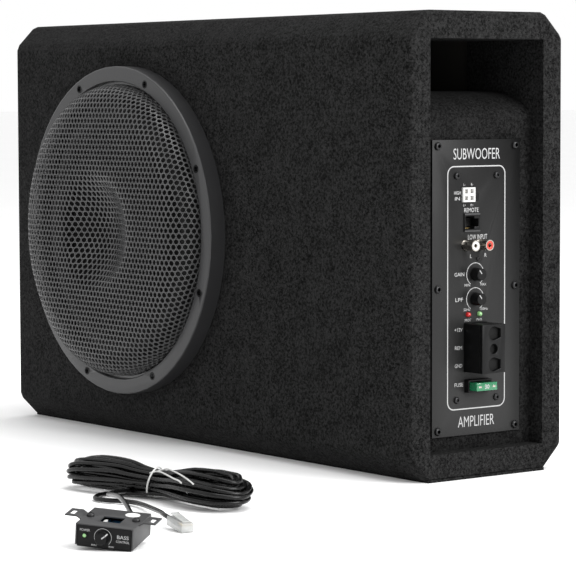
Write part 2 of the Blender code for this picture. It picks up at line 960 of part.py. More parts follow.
# Twin sockets on one body; each barrel has a cup with a bore in its middle.
jack_front = PANEL_FACE + JACK_PROUD
jacks = place(
    "line_jacks",
    block(
        (part_x, PANEL_BACK - FIT),
        (JACKS_Y[0] - 0.006, JACKS_Y[1] + 0.006),
        (JACKS_Z - 0.0055, JACKS_Z + 0.0055),
    ),
    "nickel",
)
barrel_line = [
    (0.0, part_x + 0.0030),
    (JACK_R, part_x + 0.0030),
    (JACK_R, jack_front),
    (JACK_R - 0.0007, jack_front),
    (JACK_R - 0.0007, jack_front - 0.0008),
    (0.0015, jack_front - 0.0008),
    (0.0015, jack_front - 0.0090),
    (0.0, jack_front - 0.0090),
]
barrels = gather(
    [lathe(barrel_line, 24, OUT_END) for _ in JACKS_Y],
    [(0, y, JACKS_Z) for y in JACKS_Y],
)
join(jacks, helper("barrels", barrels))

line_in = place(
    "speaker_input_socket",
    slot(*LINE_IN, part_x, PANEL_FACE + 0.0016),
    "white_nylon",
)
pins = [
    slot(LINE_IN[0] + 0.0027 * a, LINE_IN[1] + 0.0026 * b, 0.0032, 0.0032, PANEL_FACE - 0.007, END_X)
    for a in (-1, 1)
    for b in (-1, 1)
]
cut(line_in, helper("line_in_pins", gather(pins)))

remote_in = place(
    "remote_jack",
    slot(*REMOTE_IN, part_x, PANEL_FACE + 0.0008),
    "black_plastic",
)
JACK_MOUTH = (REMOTE_IN[0] - 0.0026, REMOTE_IN[1], 0.0091, 0.0100)
JACK_NOTCH = (REMOTE_IN[0] + 0.0035, REMOTE_IN[1], 0.0054, 0.0062)
jack_deep = PANEL_FACE - 0.0088
jack_room = helper("jack_room", slot(*JACK_MOUTH, jack_deep, END_X))
join(jack_room, helper("jack_notch", slot(*JACK_NOTCH, jack_deep, END_X)))
cut(remote_in, jack_room)

for name, z in zip(("level", "filter"), KNOB_Z):
    body = slot(KNOB_Y, z, 0.0098, 0.0110, part_x, PANEL_BACK - FIT)
    pot = place(f"{name}_pot", body, "aluminium")
    pot_bore = end_rod(STEM_R + FIT, KNOB_Y, z, part_x + 0.003, PANEL_FACE, 20)
    cut(pot, helper(f"{name}_pot_bore", pot_bore))
    low = PANEL_FACE + 0.0006
    knob_line = [
        (0.0, part_x + 0.0035),
        (STEM_R, part_x + 0.0035),
        (STEM_R, low),
        (KNOB_R, low),
        (KNOB_TIP_R, PANEL_FACE + KNOB_PROUD - 0.0004),
        (KNOB_TIP_R - 0.0004, PANEL_FACE + KNOB_PROUD),
        (0.0, PANEL_FACE + KNOB_PROUD),
    ]
    at_face = [(radius, x - PANEL_FACE) for radius, x in knob_line]
    knob = place(
        f"{name}_knob",
        lathe(at_face, 24, OUT_END),
        "black_plastic",
        (PANEL_FACE, KNOB_Y, z),
        rounded=True,
    )
    pointer = block(
        (KNOB_PROUD - 0.0006, KNOB_PROUD + 0.001), (-0.0004, 0.0004), (0.0012, 0.0060)
    )
    rest = (KNOB_REST, 0, 0)
    mark = helper(f"{name}_pointer", pointer, (PANEL_FACE, KNOB_Y, z), rest)
    cut(knob, mark)

for name, y, colour in (
    ("warning_led", LED_Y[0], "red_lens"),
    ("power_led", LED_Y[1], "green_lens"),
):
    tip = PANEL_FACE + LED_PROUD
    lens = [(0.0, part_x), (LED_R, part_x), (LED_R, tip - LED_R)]
    lens += arc((0.0, tip - LED_R), LED_R, 30, 60, 1) + [(0.0, tip)]
    shape = lathe(lens, 16, OUT_END)
    bmesh.ops.translate(shape, verts=shape.verts, vec=(-PANEL_FACE, 0, 0))
    place(name, shape, colour, (PANEL_FACE, y, LED_Z), rounded=True)

# The power connector: a shroud on the board, and a three-way plug pushed into it.
shroud_front = PANEL_FACE + TERMINAL_PROUD - 0.0036
shroud = place(
    "power_socket",
    slot(TERMINAL_Y, TERMINAL_Z, TERMINAL_W, TERMINAL_H, part_x, shroud_front),
    "black_plastic",
)
shroud_floor = part_x + 0.0080
shroud_room = slot(
    TERMINAL_Y, TERMINAL_Z, TERMINAL_W, TERMINAL_H, shroud_floor, END_X + 0.02, -TERMINAL_WALL
)
cut(shroud, helper("shroud_room", shroud_room))
plug = place(
    "power_plug",
    slot(
        TERMINAL_Y, TERMINAL_Z, TERMINAL_W, TERMINAL_H,
        shroud_front + FIT, PANEL_FACE + TERMINAL_PROUD,
    ),
    "black_plastic",
)
plug_body = slot(
    TERMINAL_Y, TERMINAL_Z, TERMINAL_W, TERMINAL_H,
    shroud_floor + 0.0010, shroud_front + 0.0010, -TERMINAL_WALL - FIT,
)
join(plug, helper("plug_body", plug_body))
hole_back = PANEL_FACE + TERMINAL_PROUD - 0.0140
hole_front = PANEL_FACE + TERMINAL_PROUD + 0.0010
WIRE_R = 0.0053
wires = []
for step in (-1, 1):
    centre_z = TERMINAL_Z + step * TERMINAL_PITCH
    bullet = arc((TERMINAL_Y, centre_z), WIRE_R, 60, 300, 12)
    bullet += [
        (TERMINAL_Y + 0.0070, centre_z - 0.0034),
        (TERMINAL_Y + 0.0070, centre_z + 0.0034),
    ]
    wires.append(prism(bullet, hole_back, hole_front, ALONG_X))
wires.append(end_rod(0.0039, TERMINAL_Y, TERMINAL_Z, hole_back, hole_front, 20))
cut(plug, helper("wire_holes", gather(wires)))

holder_w = FUSE_W + 0.0032
holder_t = FUSE_T + 0.0034
holder = place(
    "fuse_holder",
    slot(FUSE_Y, FUSE_Z, holder_w, holder_t, part_x, PANEL_FACE + HOLDER_PROUD),
    "black_plastic",
)
pocket_x = PANEL_FACE + 0.0010
cut(
    holder,
    helper("fuse_pocket", slot(FUSE_Y, FUSE_Z, FUSE_W, FUSE_T, pocket_x, END_X, FIT)),
)
BLADE_T = 0.0008
BLADE_W = 0.0052
blade_back = part_x + 0.0020
blade_rooms = []
blades = []
for side in (-1, 1):
    blade_y = FUSE_Y + side * 0.0066
    blade_rooms.append(
        slot(blade_y, FUSE_Z, BLADE_W, BLADE_T, blade_back - 0.0005, END_X, FIT)
    )
    blades.append(
        slot(blade_y, FUSE_Z, BLADE_W, BLADE_T, blade_back, pocket_x + 0.002)
    )
cut(holder, helper("blade_rooms", gather(blade_rooms)))
fuse = place(
    "blade_fuse",
    slot(FUSE_Y, FUSE_Z, FUSE_W, FUSE_T, pocket_x + FIT, PANEL_FACE + FUSE_PROUD),
    "green_fuse",
)
join(fuse, helper("fuse_blades", gather(blades)))

tube(
    "speaker_lead",
    [
        (CHASSIS_BACK - 0.0004, 0.012, 0.075),
        (CHASSIS_BACK - 0.020, 0.012, 0.072),
        (0.150, 0.018, 0.056),
        (0.095, 0.010, 0.062),
        (0.055, -0.010, 0.100),
        (0.032, -0.032, 0.145),
        (0.014, -0.045, 0.172),
        (DRIVER_X + 0.1000, -0.0480, MID_Z),
    ],
    0.0015,
    "wire",
    per_span=4,
    resolution=1,
)

# ---------------------------------------------------------------- the wired remote
# Its own x runs along the front, left to right, its own y runs back and its own z up.
half_w = REMOTE_W / 2
half_d = REMOTE_D / 2
remote_turn = (REMOTE_TILT, REMOTE_LEAN, REMOTE_HEADING)
remote_rise = half_d * math.sin(REMOTE_TILT) * math.cos(REMOTE_LEAN)
remote_rise += half_w * math.sin(REMOTE_LEAN)
remote_at = (*REMOTE_AT, remote_rise)


def remote_piece(name, shape, material, rounded=False):
    return place(name, shape, material, remote_at, remote_turn, rounded)


def remote_helper(name, shape):
    return helper(name, shape, remote_at, remote_turn)


def remote_point(x, y, z):
    return spot_on(remote_at, remote_turn, (x, y, z))


COVER = 0.0010
case_x = half_w - COVER - FIT
case_top = REMOTE_H - COVER - FIT
tray = remote_piece(
    "remote_case",
    block((-case_x, case_x), (-half_d, half_d), (0.0, case_top)),
    "black_plastic",
)
tray_room = block(
    (-case_x + REMOTE_WALL, case_x - REMOTE_WALL),
    (-half_d + REMOTE_WALL, half_d - REMOTE_WALL),
    (REMOTE_WALL, REMOTE_H),
)
cut(tray, remote_helper("tray_room", tray_room))
control_z = REMOTE_H / 2
cable_z = REMOTE_H * 0.58
front_bores = [
    rod(STEM_R + FIT, half_d - 0.004, half_d + 0.004, 20, OUT_FRONT),
    rod(0.0016, half_d - 0.004, half_d + 0.004, 16, OUT_FRONT),
    rod(CABLE_R + FIT, -half_d - 0.004, -half_d + 0.004, 16, OUT_FRONT),
]
bore_spots = [
    (REMOTE_KNOB_X, 0, control_z),
    (REMOTE_LED_X, 0, control_z),
    (REMOTE_EXIT_X, 0, cable_z),
]
cut(tray, remote_helper("remote_bores", gather(front_bores, bore_spots)))

# The folded steel cover: a top and two sides, with a slotted ear stepping up on each side.
EAR_RISE = 0.0018
EAR_L = 0.0112
EAR_W = 0.0155
cover_line = [(-half_w, 0.0008), (-half_w, REMOTE_H), (half_w, REMOTE_H), (half_w, 0.0008)]
cover_line += [(half_w - COVER, 0.0008), (half_w - COVER, REMOTE_H - COVER)]
cover_line += [(-half_w + COVER, REMOTE_H - COVER), (-half_w + COVER, 0.0008)]
bracket = remote_piece(
    "remote_bracket", prism(cover_line, -half_d, half_d, ALONG_Y), "cover_steel"
)
for side, name in ((-1, "left_ear"), (1, "right_ear")):
    line = [(side * (half_w - 0.002), REMOTE_H), (side * (half_w + 0.0004), REMOTE_H)]
    line += [(side * (half_w + 0.0032), REMOTE_H + EAR_RISE)]
    line += [(side * (half_w + EAR_L), REMOTE_H + EAR_RISE)]
    ear_line = line + [(x, z - COVER) for x, z in line[::-1]]
    ear = prism(ear_line, -EAR_W / 2 - 0.0008, EAR_W / 2 - 0.0008, ALONG_Y)
    join(bracket, remote_helper(name, ear))
    slot_x = side * (half_w + 0.0074)
    ear_slot = block(
        (slot_x - 0.0018, slot_x + 0.0018), (-0.0056, 0.0040), (0.0, REMOTE_H + 0.01)
    )
    cut(bracket, remote_helper(f"{name}_slot", ear_slot))
window = block((-0.0071, 0.0070), (-0.0097, 0.0030), (REMOTE_H - 0.004, REMOTE_H + 0.01))
cut(bracket, remote_helper("cover_window", window))
heads = [rod(0.0024, 0.0, 0.0022, 12) for _ in range(2)]
head_spots = [(side * (half_w - 0.0040), -0.0010, REMOTE_H - 0.0004) for side in (-1, 1)]
join(bracket, remote_helper("cover_screws", gather(heads, head_spots)))

remote_board = remote_piece(
    "remote_board",
    block(
        (-case_x + 0.0020, case_x - 0.0020),
        (-half_d + 0.0045, half_d - 0.0060),
        (case_top - 0.0056, case_top - 0.0040),
    ),
    "blue_board",
)

control_y = -half_d
knob_turned = [
    (0.0, -0.0038),
    (STEM_R, -0.0038),
    (STEM_R, 0.0006),
    (REMOTE_KNOB_R, 0.0006),
    (REMOTE_KNOB_R - 0.0004, 0.0056),
    (REMOTE_KNOB_R - 0.0008, 0.0060),
    (0.0, 0.0060),
]
knob_rest = Euler(remote_turn).to_matrix() @ Euler((0, REMOTE_KNOB_REST, 0)).to_matrix()
remote_knob_at = remote_point(REMOTE_KNOB_X, control_y, control_z)
remote_knob = place(
    "remote_knob",
    lathe(knob_turned, 24, OUT_FRONT),
    "black_plastic",
    remote_knob_at,
    knob_rest.to_euler(),
    rounded=True,
)
pointer = block((-0.0004, 0.0004), (-0.0070, -0.0055), (0.0010, 0.0060))
cut(remote_knob, helper("remote_pointer", pointer, remote_knob_at, knob_rest.to_euler()))

led_shape = [(0.0, -0.0030), (0.0013, -0.0030), (0.0013, 0.0006), (0.0, 0.0014)]
place(
    "remote_led",
    lathe(led_shape, 12, OUT_FRONT),
    "green_lens",
    remote_point(REMOTE_LED_X, control_y, control_z),
    remote_turn,
    rounded=True,
)

# ---------------------------------------------------------------- the cable
hank_at = (*HANK_AT, 0.0)
hank_turn = (0.0, 0.0, HANK_HEADING)


def hank_point(x, y, z):
    return spot_on(hank_at, hank_turn, (x, y, z))


# Stations along the hank, left loop to right: share of length, sideways shift, half width,
# height, lift off the floor.
WAIST_W = 0.0120
WAIST_H = 0.0200
WAIST_LIFT = 0.0020
HANK_STATIONS = [
    (-0.500, 0.0000, 0.0045, 0.012, 0.0030),
    (-0.470, 0.0000, 0.0108, 0.020, 0.0010),
    (-0.410, 0.0000, 0.0162, 0.026, 0.0000),
    (-0.310, 0.0000, 0.0180, 0.027, 0.0000),
    (-0.190, 0.0000, 0.0153, 0.026, 0.0005),
    (-0.090, 0.0000, 0.0135, 0.0215, 0.0015),
    (-0.055, 0.0000, WAIST_W, WAIST_H, WAIST_LIFT),
    (0.045, 0.0000, WAIST_W, WAIST_H, WAIST_LIFT),
    (0.085, -0.0001, 0.0140, 0.0215, 0.0015),
    (0.170, -0.0007, 0.0195, 0.0260, 0.0005),
    (0.290, -0.0021, 0.0250, 0.0275, 0.0000),
    (0.400, -0.0039, 0.0238, 0.0262, 0.0000),
    (0.470, -0.0054, 0.0150, 0.0205, 0.0010),
    (0.500, -0.0061, 0.0070, 0.0120, 0.0030),
]


def bridge(shape, rings, closed):
    """Faces between each ring of points and the next."""
    pairs = list(zip(rings, rings[1:]))
    if closed:
        pairs.append((rings[-1], rings[0]))
    for low, high in pairs:
        for index in range(len(low)):
            follow = (index + 1) % len(low)
            shape.faces.new((low[index], low[follow], high[follow], high[index]))
    if not closed:
        shape.faces.new(rings[0])
        shape.faces.new(rings[-1])
    bmesh.ops.recalc_face_normals(shape, faces=shape.faces)
    return shape


def oval(across, up, middle_z, count):
    """Points round an upright oval, as (y, z)."""
    return [(across * u, middle_z + up * v) for u, v in around(count, 1.0)]


hank = bmesh.new()
hank_rings = []
for share, shift, half_width, tall, lift in HANK_STATIONS:
    spots = oval(half_width, tall / 2, lift + tall / 2, 16)
    along = share * HANK_LENGTH
    hank_rings.append([hank.verts.new((along, y + shift, z)) for y, z in spots])
bridge(hank, hank_rings, False)
place("cord_hank", hank, "rubber", hank_at, hank_turn, rounded=True)

# The twist tie goes round the waist at a slant.
TIE_T = 0.0011
TIE_X = -0.0030
TIE_SLANT = (-0.45, 0.30)
tie = bmesh.new()
waist_z = WAIST_LIFT + WAIST_H / 2
inner = oval(WAIST_W + FIT, WAIST_H / 2 + FIT, waist_z, 24)
outer = oval(WAIST_W + FIT + TIE_T, WAIST_H / 2 + FIT + TIE_T, waist_z, 24)
tie_rings = []
for near, far in zip(inner, outer):
    along = TIE_X + TIE_SLANT[0] * near[0] + TIE_SLANT[1] * (near[1] - waist_z)
    edge = [(-0.0011, near), (0.0011, near), (0.0011, far), (-0.0011, far)]
    tie_rings.append([tie.verts.new((along + x, *spot)) for x, spot in edge])
bridge(tie, tie_rings, True)
place("cord_tie", tie, "white_nylon", hank_at, hank_turn, rounded=True)

# The free ends: one from the remote's back over the other to the hank, one out to the plug.
low_z = CABLE_R + 0.0006
tube(
    "remote_cord",
    [
        remote_point(REMOTE_EXIT_X, half_d - REMOTE_WALL - 0.0006, cable_z),
        remote_point(REMOTE_EXIT_X, half_d + 0.0100, cable_z + 0.0004),
        (0.3390, -0.3675, 0.0157),
        (0.3230, -0.3595, 0.0172),
        (0.3070, -0.3520, 0.0183),
        (0.2900, -0.3440, 0.0180),
        (0.2720, -0.3360, 0.0163),
        (0.2530, -0.3270, 0.0136),
        (0.2350, -0.3170, 0.0106),
        (0.2200, -0.3055, 0.0085),
        (0.2080, -0.2915, 0.0068),
        hank_point(-0.0165, -0.0137, 0.0056),
    ],
    CABLE_R,
    "rubber",
    per_span=3,
)
plug_turn = (0.0, PLUG_LEAN, PLUG_HEADING)
plug_at = (*PLUG_AT, PLUG_L * math.sin(PLUG_LEAN))


def plug_point(x):
    return spot_on(plug_at, plug_turn, (x, 0.0, PLUG_H / 2))


tube(
    "plug_cord",
    [
        hank_point(-0.0340, -0.0134, low_z),
        hank_point(-0.0335, -0.0200, low_z),
        (0.1895, -0.2965, low_z),
        (0.1985, -0.3045, low_z),
        (0.2110, -0.3035, low_z),
        (0.2240, -0.2965, low_z + 0.0002),
        (0.2390, -0.2955, low_z + 0.0006),
        (0.2560, -0.3000, low_z + 0.0013),
        (0.2740, -0.3070, low_z + 0.0025),
        (0.2920, -0.3145, low_z + 0.0038),
        (0.3080, -0.3218, low_z + 0.0051),
        plug_point(-0.0110),
        plug_point(-FIT),
    ],
    CABLE_R,
    "rubber",
    per_span=3,
)
plug_block = block((0.0, PLUG_L), (-PLUG_W / 2, PLUG_W / 2), (0.0, PLUG_H))
modular = place("modular_plug", plug_block, "clear_plastic", plug_at, plug_turn)
catch = prism(
    [
        (0.0030, PLUG_H - 0.0004),
        (0.0190, PLUG_H - 0.0004),
        (0.0190, PLUG_H + 0.0006),
        (0.0020, PLUG_H + 0.0028),
        (0.0020, PLUG_H + 0.0018),
        (0.0120, PLUG_H + 0.0004),
    ],
    -0.0030,
    0.0030,
    ALONG_Y,
)
join(modular, helper("catch", catch, plug_at, plug_turn))
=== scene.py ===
"""The look of a powered car subwoofer: carpeted box, dished mesh grille, amplifier panel and
wired level remote, standing on a pale floor."""

import json
import math

import bmesh
import bpy
import numpy as np
from mathutils import Euler, Matrix, Vector


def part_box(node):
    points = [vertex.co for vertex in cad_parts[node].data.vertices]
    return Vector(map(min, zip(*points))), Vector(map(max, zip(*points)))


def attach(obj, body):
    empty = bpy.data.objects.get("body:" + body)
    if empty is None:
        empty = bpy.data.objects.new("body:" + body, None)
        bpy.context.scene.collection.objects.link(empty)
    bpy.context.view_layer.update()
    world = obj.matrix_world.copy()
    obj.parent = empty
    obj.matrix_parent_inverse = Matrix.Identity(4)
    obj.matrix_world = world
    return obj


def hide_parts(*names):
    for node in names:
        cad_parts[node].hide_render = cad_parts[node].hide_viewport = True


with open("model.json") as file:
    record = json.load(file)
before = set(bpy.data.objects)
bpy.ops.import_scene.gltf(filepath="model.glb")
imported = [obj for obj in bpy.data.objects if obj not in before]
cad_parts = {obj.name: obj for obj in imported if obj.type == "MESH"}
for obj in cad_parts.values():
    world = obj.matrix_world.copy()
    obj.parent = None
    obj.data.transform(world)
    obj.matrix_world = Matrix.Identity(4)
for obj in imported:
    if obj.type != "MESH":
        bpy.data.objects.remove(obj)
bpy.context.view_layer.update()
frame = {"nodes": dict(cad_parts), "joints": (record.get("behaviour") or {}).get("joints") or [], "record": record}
nodes = frame["nodes"]
scene = bpy.context.scene
scene.view_settings.view_transform = "Standard"


# ================================================================ shader sockets
class Socket:
    """A shader value that Python's own arithmetic works on."""

    def __init__(self, tree, link):
        self.tree = tree
        self.link = link

    def node(self, kind, settings=None, output=0, **inputs):
        return add_node(self.tree, kind, settings, output, **inputs)

    def maths(self, operation, first, second):
        return self.node("ShaderNodeMath", {"operation": operation}, i0=first, i1=second)

    def __add__(self, other):
        return self.maths("ADD", self, other)

    def __radd__(self, other):
        return self.maths("ADD", other, self)

    def __sub__(self, other):
        return self.maths("SUBTRACT", self, other)

    def __rsub__(self, other):
        return self.maths("SUBTRACT", other, self)

    def __mul__(self, other):
        return self.maths("MULTIPLY", self, other)

    def __rmul__(self, other):
        return self.maths("MULTIPLY", other, self)


def add_node(tree, kind, settings=None, output=0, **inputs):
    """Adds a node, sets it, fills its sockets and returns one of its outputs."""
    made = tree.nodes.new(kind)
    for name, value in (settings or {}).items():
        setattr(made, name, value)
    for name, value in inputs.items():
        key = int(name[1:]) if name[0] == "i" and name[1:].isdigit() else name.replace("_", " ")
        target = made.inputs[key]
        if isinstance(value, Socket):
            tree.links.new(value.link, target)
        else:
            target.default_value = value
    return Socket(tree, made.outputs[output])


class Finish:
    """One material and the node tree behind it."""

    def __init__(self, name, **constants):
        self.material = bpy.data.materials.new(name)
        self.material.use_nodes = True
        self.tree = self.material.node_tree
        self.shader = self.tree.nodes["Principled BSDF"]
        for key, value in constants.items():
            self.shader.inputs[key.replace("_", " ")].default_value = value

    def node(self, kind, settings=None, output=0, **inputs):
        return add_node(self.tree, kind, settings, output, **inputs)

    def spot(self):
        return self.node("ShaderNodeTexCoord", output="Object")

    def noise(self, scale, detail=2.0, roughness=0.5, where=None):
        return self.node(
            "ShaderNodeTexNoise",
            Vector=where or self.spot(),
            Scale=scale,
            Detail=detail,
            Roughness=roughness,
        )

    def cells(self, scale, output="Distance"):
        return self.node("ShaderNodeTexVoronoi", output=output, Vector=self.spot(), Scale=scale)

    def blend(self, share, first, second):
        return self.node(
            "ShaderNodeMix",
            {"data_type": "RGBA"},
            2,
            i0=share,
            i6=first if isinstance(first, Socket) else (*first, 1.0),
            i7=second if isinstance(second, Socket) else (*second, 1.0),
        )

    def clamp(self, share, low, high):
        return self.node(
            "ShaderNodeMapRange", Value=share, From_Min=low, From_Max=high, To_Min=0.0, To_Max=1.0
        )

    def wear(self, value, to="Base Color"):
        self.tree.links.new(value.link, self.shader.inputs[to])

    def bump(self, height, strength, distance):
        made = self.node(
            "ShaderNodeBump", Strength=strength, Distance=distance, Height=height
        )
        self.wear(made, to="Normal")


# ================================================================ finishes
def carpet_finish(name, dark, light):
    """Needled felt: matted fibres a millimetre or so apart, with a soft mottle over them."""
    made = Finish(name, Roughness=0.95, Specular_IOR_Level=0.10)
    fibre = made.noise(1100.0, 3.0, 0.65)
    tuft = made.cells(420.0)
    mottle = made.noise(470.0, 4.0, 0.8)
    patch = made.noise(60.0, 2.0, 0.5)
    height = fibre * 0.5 + tuft * 0.5 + mottle * 0.7
    share = made.clamp(fibre * 0.20 + mottle * 0.70 + patch * 0.10, 0.42, 0.60)
    made.wear(made.blend(share, dark, light))
    made.bump(height, 0.75, 0.0011)
    return made.material


def moulded(name, colour, roughness, grain=0.25, scale=1600.0, spread=0.18, **constants):
    """Moulded plastic or paint: a fine skin with a little unevenness in colour and gloss."""
    made = Finish(name, **constants)
    fine = made.noise(scale, 2.0, 0.55)
    broad = made.noise(45.0, 3.0, 0.6)
    darker = tuple(part * (1 - spread) for part in colour)
    lighter = tuple(min(1.0, part * (1 + spread)) for part in colour)
    made.wear(made.blend(broad * 0.7 + fine * 0.3, darker, lighter))
    uneven = made.clamp(broad * 0.6 + fine * 0.4, -1.2, 2.2)
    made.wear(uneven * 0.30 + (roughness - 0.15), to="Roughness")
    made.bump(fine, grain, 0.0002)
    return made.material


def metal(name, colour, roughness, lines=None, metallic=1.0):
    """Metal with a fine drawn grain along one direction."""
    made = Finish(name, Metallic=metallic)
    stretch = lines or (1.0, 1.0, 1.0)
    where = made.node("ShaderNodeMapping", Vector=made.spot(), Scale=stretch)
    grain = made.noise(900.0, 3.0, 0.6, where)
    broad = made.noise(60.0, 2.0, 0.5)
    darker = tuple(part * 0.80 for part in colour)
    made.wear(made.blend(grain * 0.5 + broad * 0.5, darker, colour))
    made.wear(grain * 0.22 + (roughness - 0.11), to="Roughness")
    made.bump(grain, 0.12, 0.0001)
    return made.material


def board_finish_painted_shade():
    made = Finish("board in painted shade", Roughness=0.85)
    fibre = made.noise(700.0, 4.0, 0.7)
    broad = made.noise(25.0, 3.0, 0.5)
    # painted shade: the board is coloured near black because the inside of the box lies in shadow
    made.wear(made.blend(fibre * 0.6 + broad * 0.4, (0.010, 0.009, 0.008), (0.030, 0.026, 0.022)))
    made.bump(fibre, 0.3, 0.0003)
    return made.material


def cone_finish():
    """Pressed paper with its fibres."""
    made = Finish("pressed paper", Roughness=0.8, Specular_IOR_Level=0.12)
    fibre = made.noise(500.0, 4.0, 0.7)
    made.wear(made.blend(fibre, (0.002, 0.002, 0.002), (0.008, 0.008, 0.008)))
    made.bump(fibre, 0.4, 0.0005)
    return made.material


def circuit_finish(name, base, trace):
    """Solder mask over copper tracks."""
    made = Finish(name, Roughness=0.35, Coat_Weight=0.3)
    cells = made.node(
        "ShaderNodeTexVoronoi",
        {"distance": "CHEBYCHEV", "feature": "F1"},
        "Distance",
        Vector=made.spot(),
        Scale=420.0,
    )
    made.wear(made.blend(made.clamp(cells, 0.35, 0.45), base, trace))
    made.bump(cells, 0.2, 0.0002)
    return made.material


def cable_finish():
    """Soft vinyl with a dull skin and small handling marks."""
    made = Finish("cable vinyl", Specular_IOR_Level=0.24)
    skin = made.noise(350.0, 3.0, 0.6)
    broad = made.noise(40.0, 2.0, 0.5)
    share = skin * 0.5 + broad * 0.5
    made.wear(made.blend(share, (0.0008, 0.0008, 0.0008), (0.0030, 0.0030, 0.0031)))
    made.wear(skin * 0.16 + 0.20, to="Roughness")
    made.bump(skin, 0.18, 0.0003)
    return made.material


def panel_finish():
    """Satin powder coat, with painted light: its colour is lighter toward the bottom of the panel."""
    made = Finish("panel paint", Specular_IOR_Level=0.17)
    height = made.node("ShaderNodeSeparateXYZ", output="Z", Vector=made.spot())
    fine = made.noise(1300.0, 2.0, 0.55)
    broad = made.noise(45.0, 3.0, 0.6)
    # painted light: the colour runs from dark at the top of the panel to lighter at the bottom
    share = made.clamp(height + broad * 0.02, 0.25, 0.045)
    made.wear(made.blend(share * 0.9 + fine * 0.1, (0.0012, 0.0012, 0.0013), (0.022, 0.022, 0.022)))
    made.wear(broad * 0.1 + 0.34, to="Roughness")
    made.bump(fine, 0.18, 0.0002)
    return made.material


def glow(name, colour, strength):
    made = Finish(
        name,
        Roughness=0.18,
        Coat_Weight=0.6,
        Emission_Strength=strength,
        Emission_Color=(*colour, 1.0),
    )
    cloud = made.noise(900.0, 2.0, 0.5)
    deep = tuple(part * 0.55 for part in colour)
    made.wear(made.blend(cloud, deep, colour))
    return made.material


def clear_finish(name, colour, alpha, roughness=0.12):
    made = Finish(name, Roughness=roughness, Alpha=alpha, Coat_Weight=0.5)
    cloud = made.noise(300.0, 2.0, 0.5)
    deep = tuple(part * 0.82 for part in colour)
    made.wear(made.blend(cloud, deep, colour))
    made.bump(cloud, 0.05, 0.0002)
    return made.material


LOOKS = {
    "carpet": carpet_finish("box carpet", (0.0003, 0.0003, 0.0003), (0.0215, 0.0215, 0.0215)),
    "board": board_finish_painted_shade(),
    "ring_plastic": moulded(
        "ring plastic", (0.022, 0.022, 0.023), 0.40, 0.35, 900.0, Specular_IOR_Level=0.50
    ),
    "mesh_paint": moulded(
        "mesh paint", (0.060, 0.060, 0.061), 0.30, 0.15, 1200.0, Specular_IOR_Level=0.6
    ),
    "black_steel": metal("blackened steel", (0.035, 0.035, 0.036), 0.36, metallic=0.85),
    "black_plastic": moulded(
        "black plastic", (0.0030, 0.0030, 0.0032), 0.38, 0.2, Specular_IOR_Level=0.15
    ),
    "cover_steel": moulded(
        "cover paint", (0.040, 0.040, 0.041), 0.45, 0.25, 1400.0, Specular_IOR_Level=0.25
    ),
    "rubber": moulded(
        "surround rubber", (0.004, 0.004, 0.004), 0.6, 0.3, Specular_IOR_Level=0.15
    ),
    "paper": cone_finish(),
    "steel": metal("machined steel", (0.50, 0.50, 0.51), 0.32, (1.0, 1.0, 8.0)),
    "ferrite": moulded("ferrite", (0.05, 0.05, 0.052), 0.75, 0.5, 700.0),
    "copper": metal("copper winding", (0.62, 0.29, 0.12), 0.35, (1.0, 12.0, 1.0)),
    "cloth": moulded("treated cloth", (0.42, 0.28, 0.10), 0.85, 0.6, 800.0),
    "panel_paint": panel_finish(),
    "aluminium": metal("cast aluminium", (0.58, 0.59, 0.60), 0.42),
    "green_board": circuit_finish("green board", (0.01, 0.10, 0.03), (0.03, 0.20, 0.07)),
    "blue_board": circuit_finish("blue board", (0.01, 0.13, 0.38), (0.05, 0.34, 0.68)),
    "nickel": metal("nickel plate", (0.50, 0.47, 0.42), 0.22, (6.0, 1.0, 1.0)),
    "white_nylon": moulded("white nylon", (0.52, 0.52, 0.51), 0.45, 0.2, spread=0.05),
    "red_lens": glow("red lens", (0.50, 0.02, 0.02), 0.12),
    "green_lens": glow("green lens", (0.25, 0.50, 0.20), 0.2),
    "green_fuse": clear_finish("fuse plastic", (0.012, 0.17, 0.070), 0.92, 0.20),
    "clear_plastic": clear_finish("clear plastic", (0.46, 0.47, 0.46), 0.66, 0.18),
    "wire": moulded("red wire", (0.34, 0.02, 0.02), 0.42, 0.1),
    "ink": moulded(
        "panel ink", (0.36, 0.36, 0.36), 0.60, 0.1, spread=0.04, Specular_IOR_Level=0.2
    ),
    "cable": cable_finish(),
    "socket_red": moulded("red insulator", (0.40, 0.035, 0.02), 0.35, 0.1),
    "sticker": moulded("paper sticker", (0.62, 0.62, 0.61), 0.70, 0.2, spread=0.04),
    "gold": metal("gold contact", (0.80, 0.58, 0.24), 0.25),
}
# A darker copy of the box carpet for the recess walls: painted shade.
LOOKS["port_carpet"] = carpet_finish(
    "recess carpet with painted shade", (0.0003, 0.0003, 0.0003), (0.0150, 0.0150, 0.0150)
)

SLOTS = {part["node"]: part["material_slot"] for part in frame["record"]["subparts"]}
for node, obj in nodes.items():
    obj.data.materials.clear()
    obj.data.materials.append(LOOKS["port_carpet" if node == "recess_carpet" else SLOTS[node]])


# ================================================================ modelling
OUT_FRONT = Matrix.Rotation(math.pi / 2, 4, "X")
OUT_END = Matrix.Rotation(math.pi / 2, 4, "Y")
# Local x to +Y, y to +Z and z out of the panel along +X.
ON_PANEL = Matrix(((0, 0, 1), (1, 0, 0), (0, 1, 0))).to_4x4()


def place(x, y, z):
    """A shift by three distances."""
    return Matrix.Translation((x, y, z))


def keep(shape, name, look, body, stands_for=(), angle=38.0, smooth=True):
    """Turns a finished shape into a piece of the object."""
    bmesh.ops.remove_doubles(shape, verts=shape.verts, dist=1e-6)
    mesh = bpy.data.meshes.new(name)
    shape.to_mesh(mesh)
    shape.free()
    if smooth:
        mesh.shade_smooth()
        mesh.set_sharp_from_angle(angle=math.radians(angle))
    made = bpy.data.objects.new(name, mesh)
    scene.collection.objects.link(made)
    mesh.materials.append(LOOKS[look])
    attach(made, body)
    if stands_for:
        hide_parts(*stands_for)
    return made


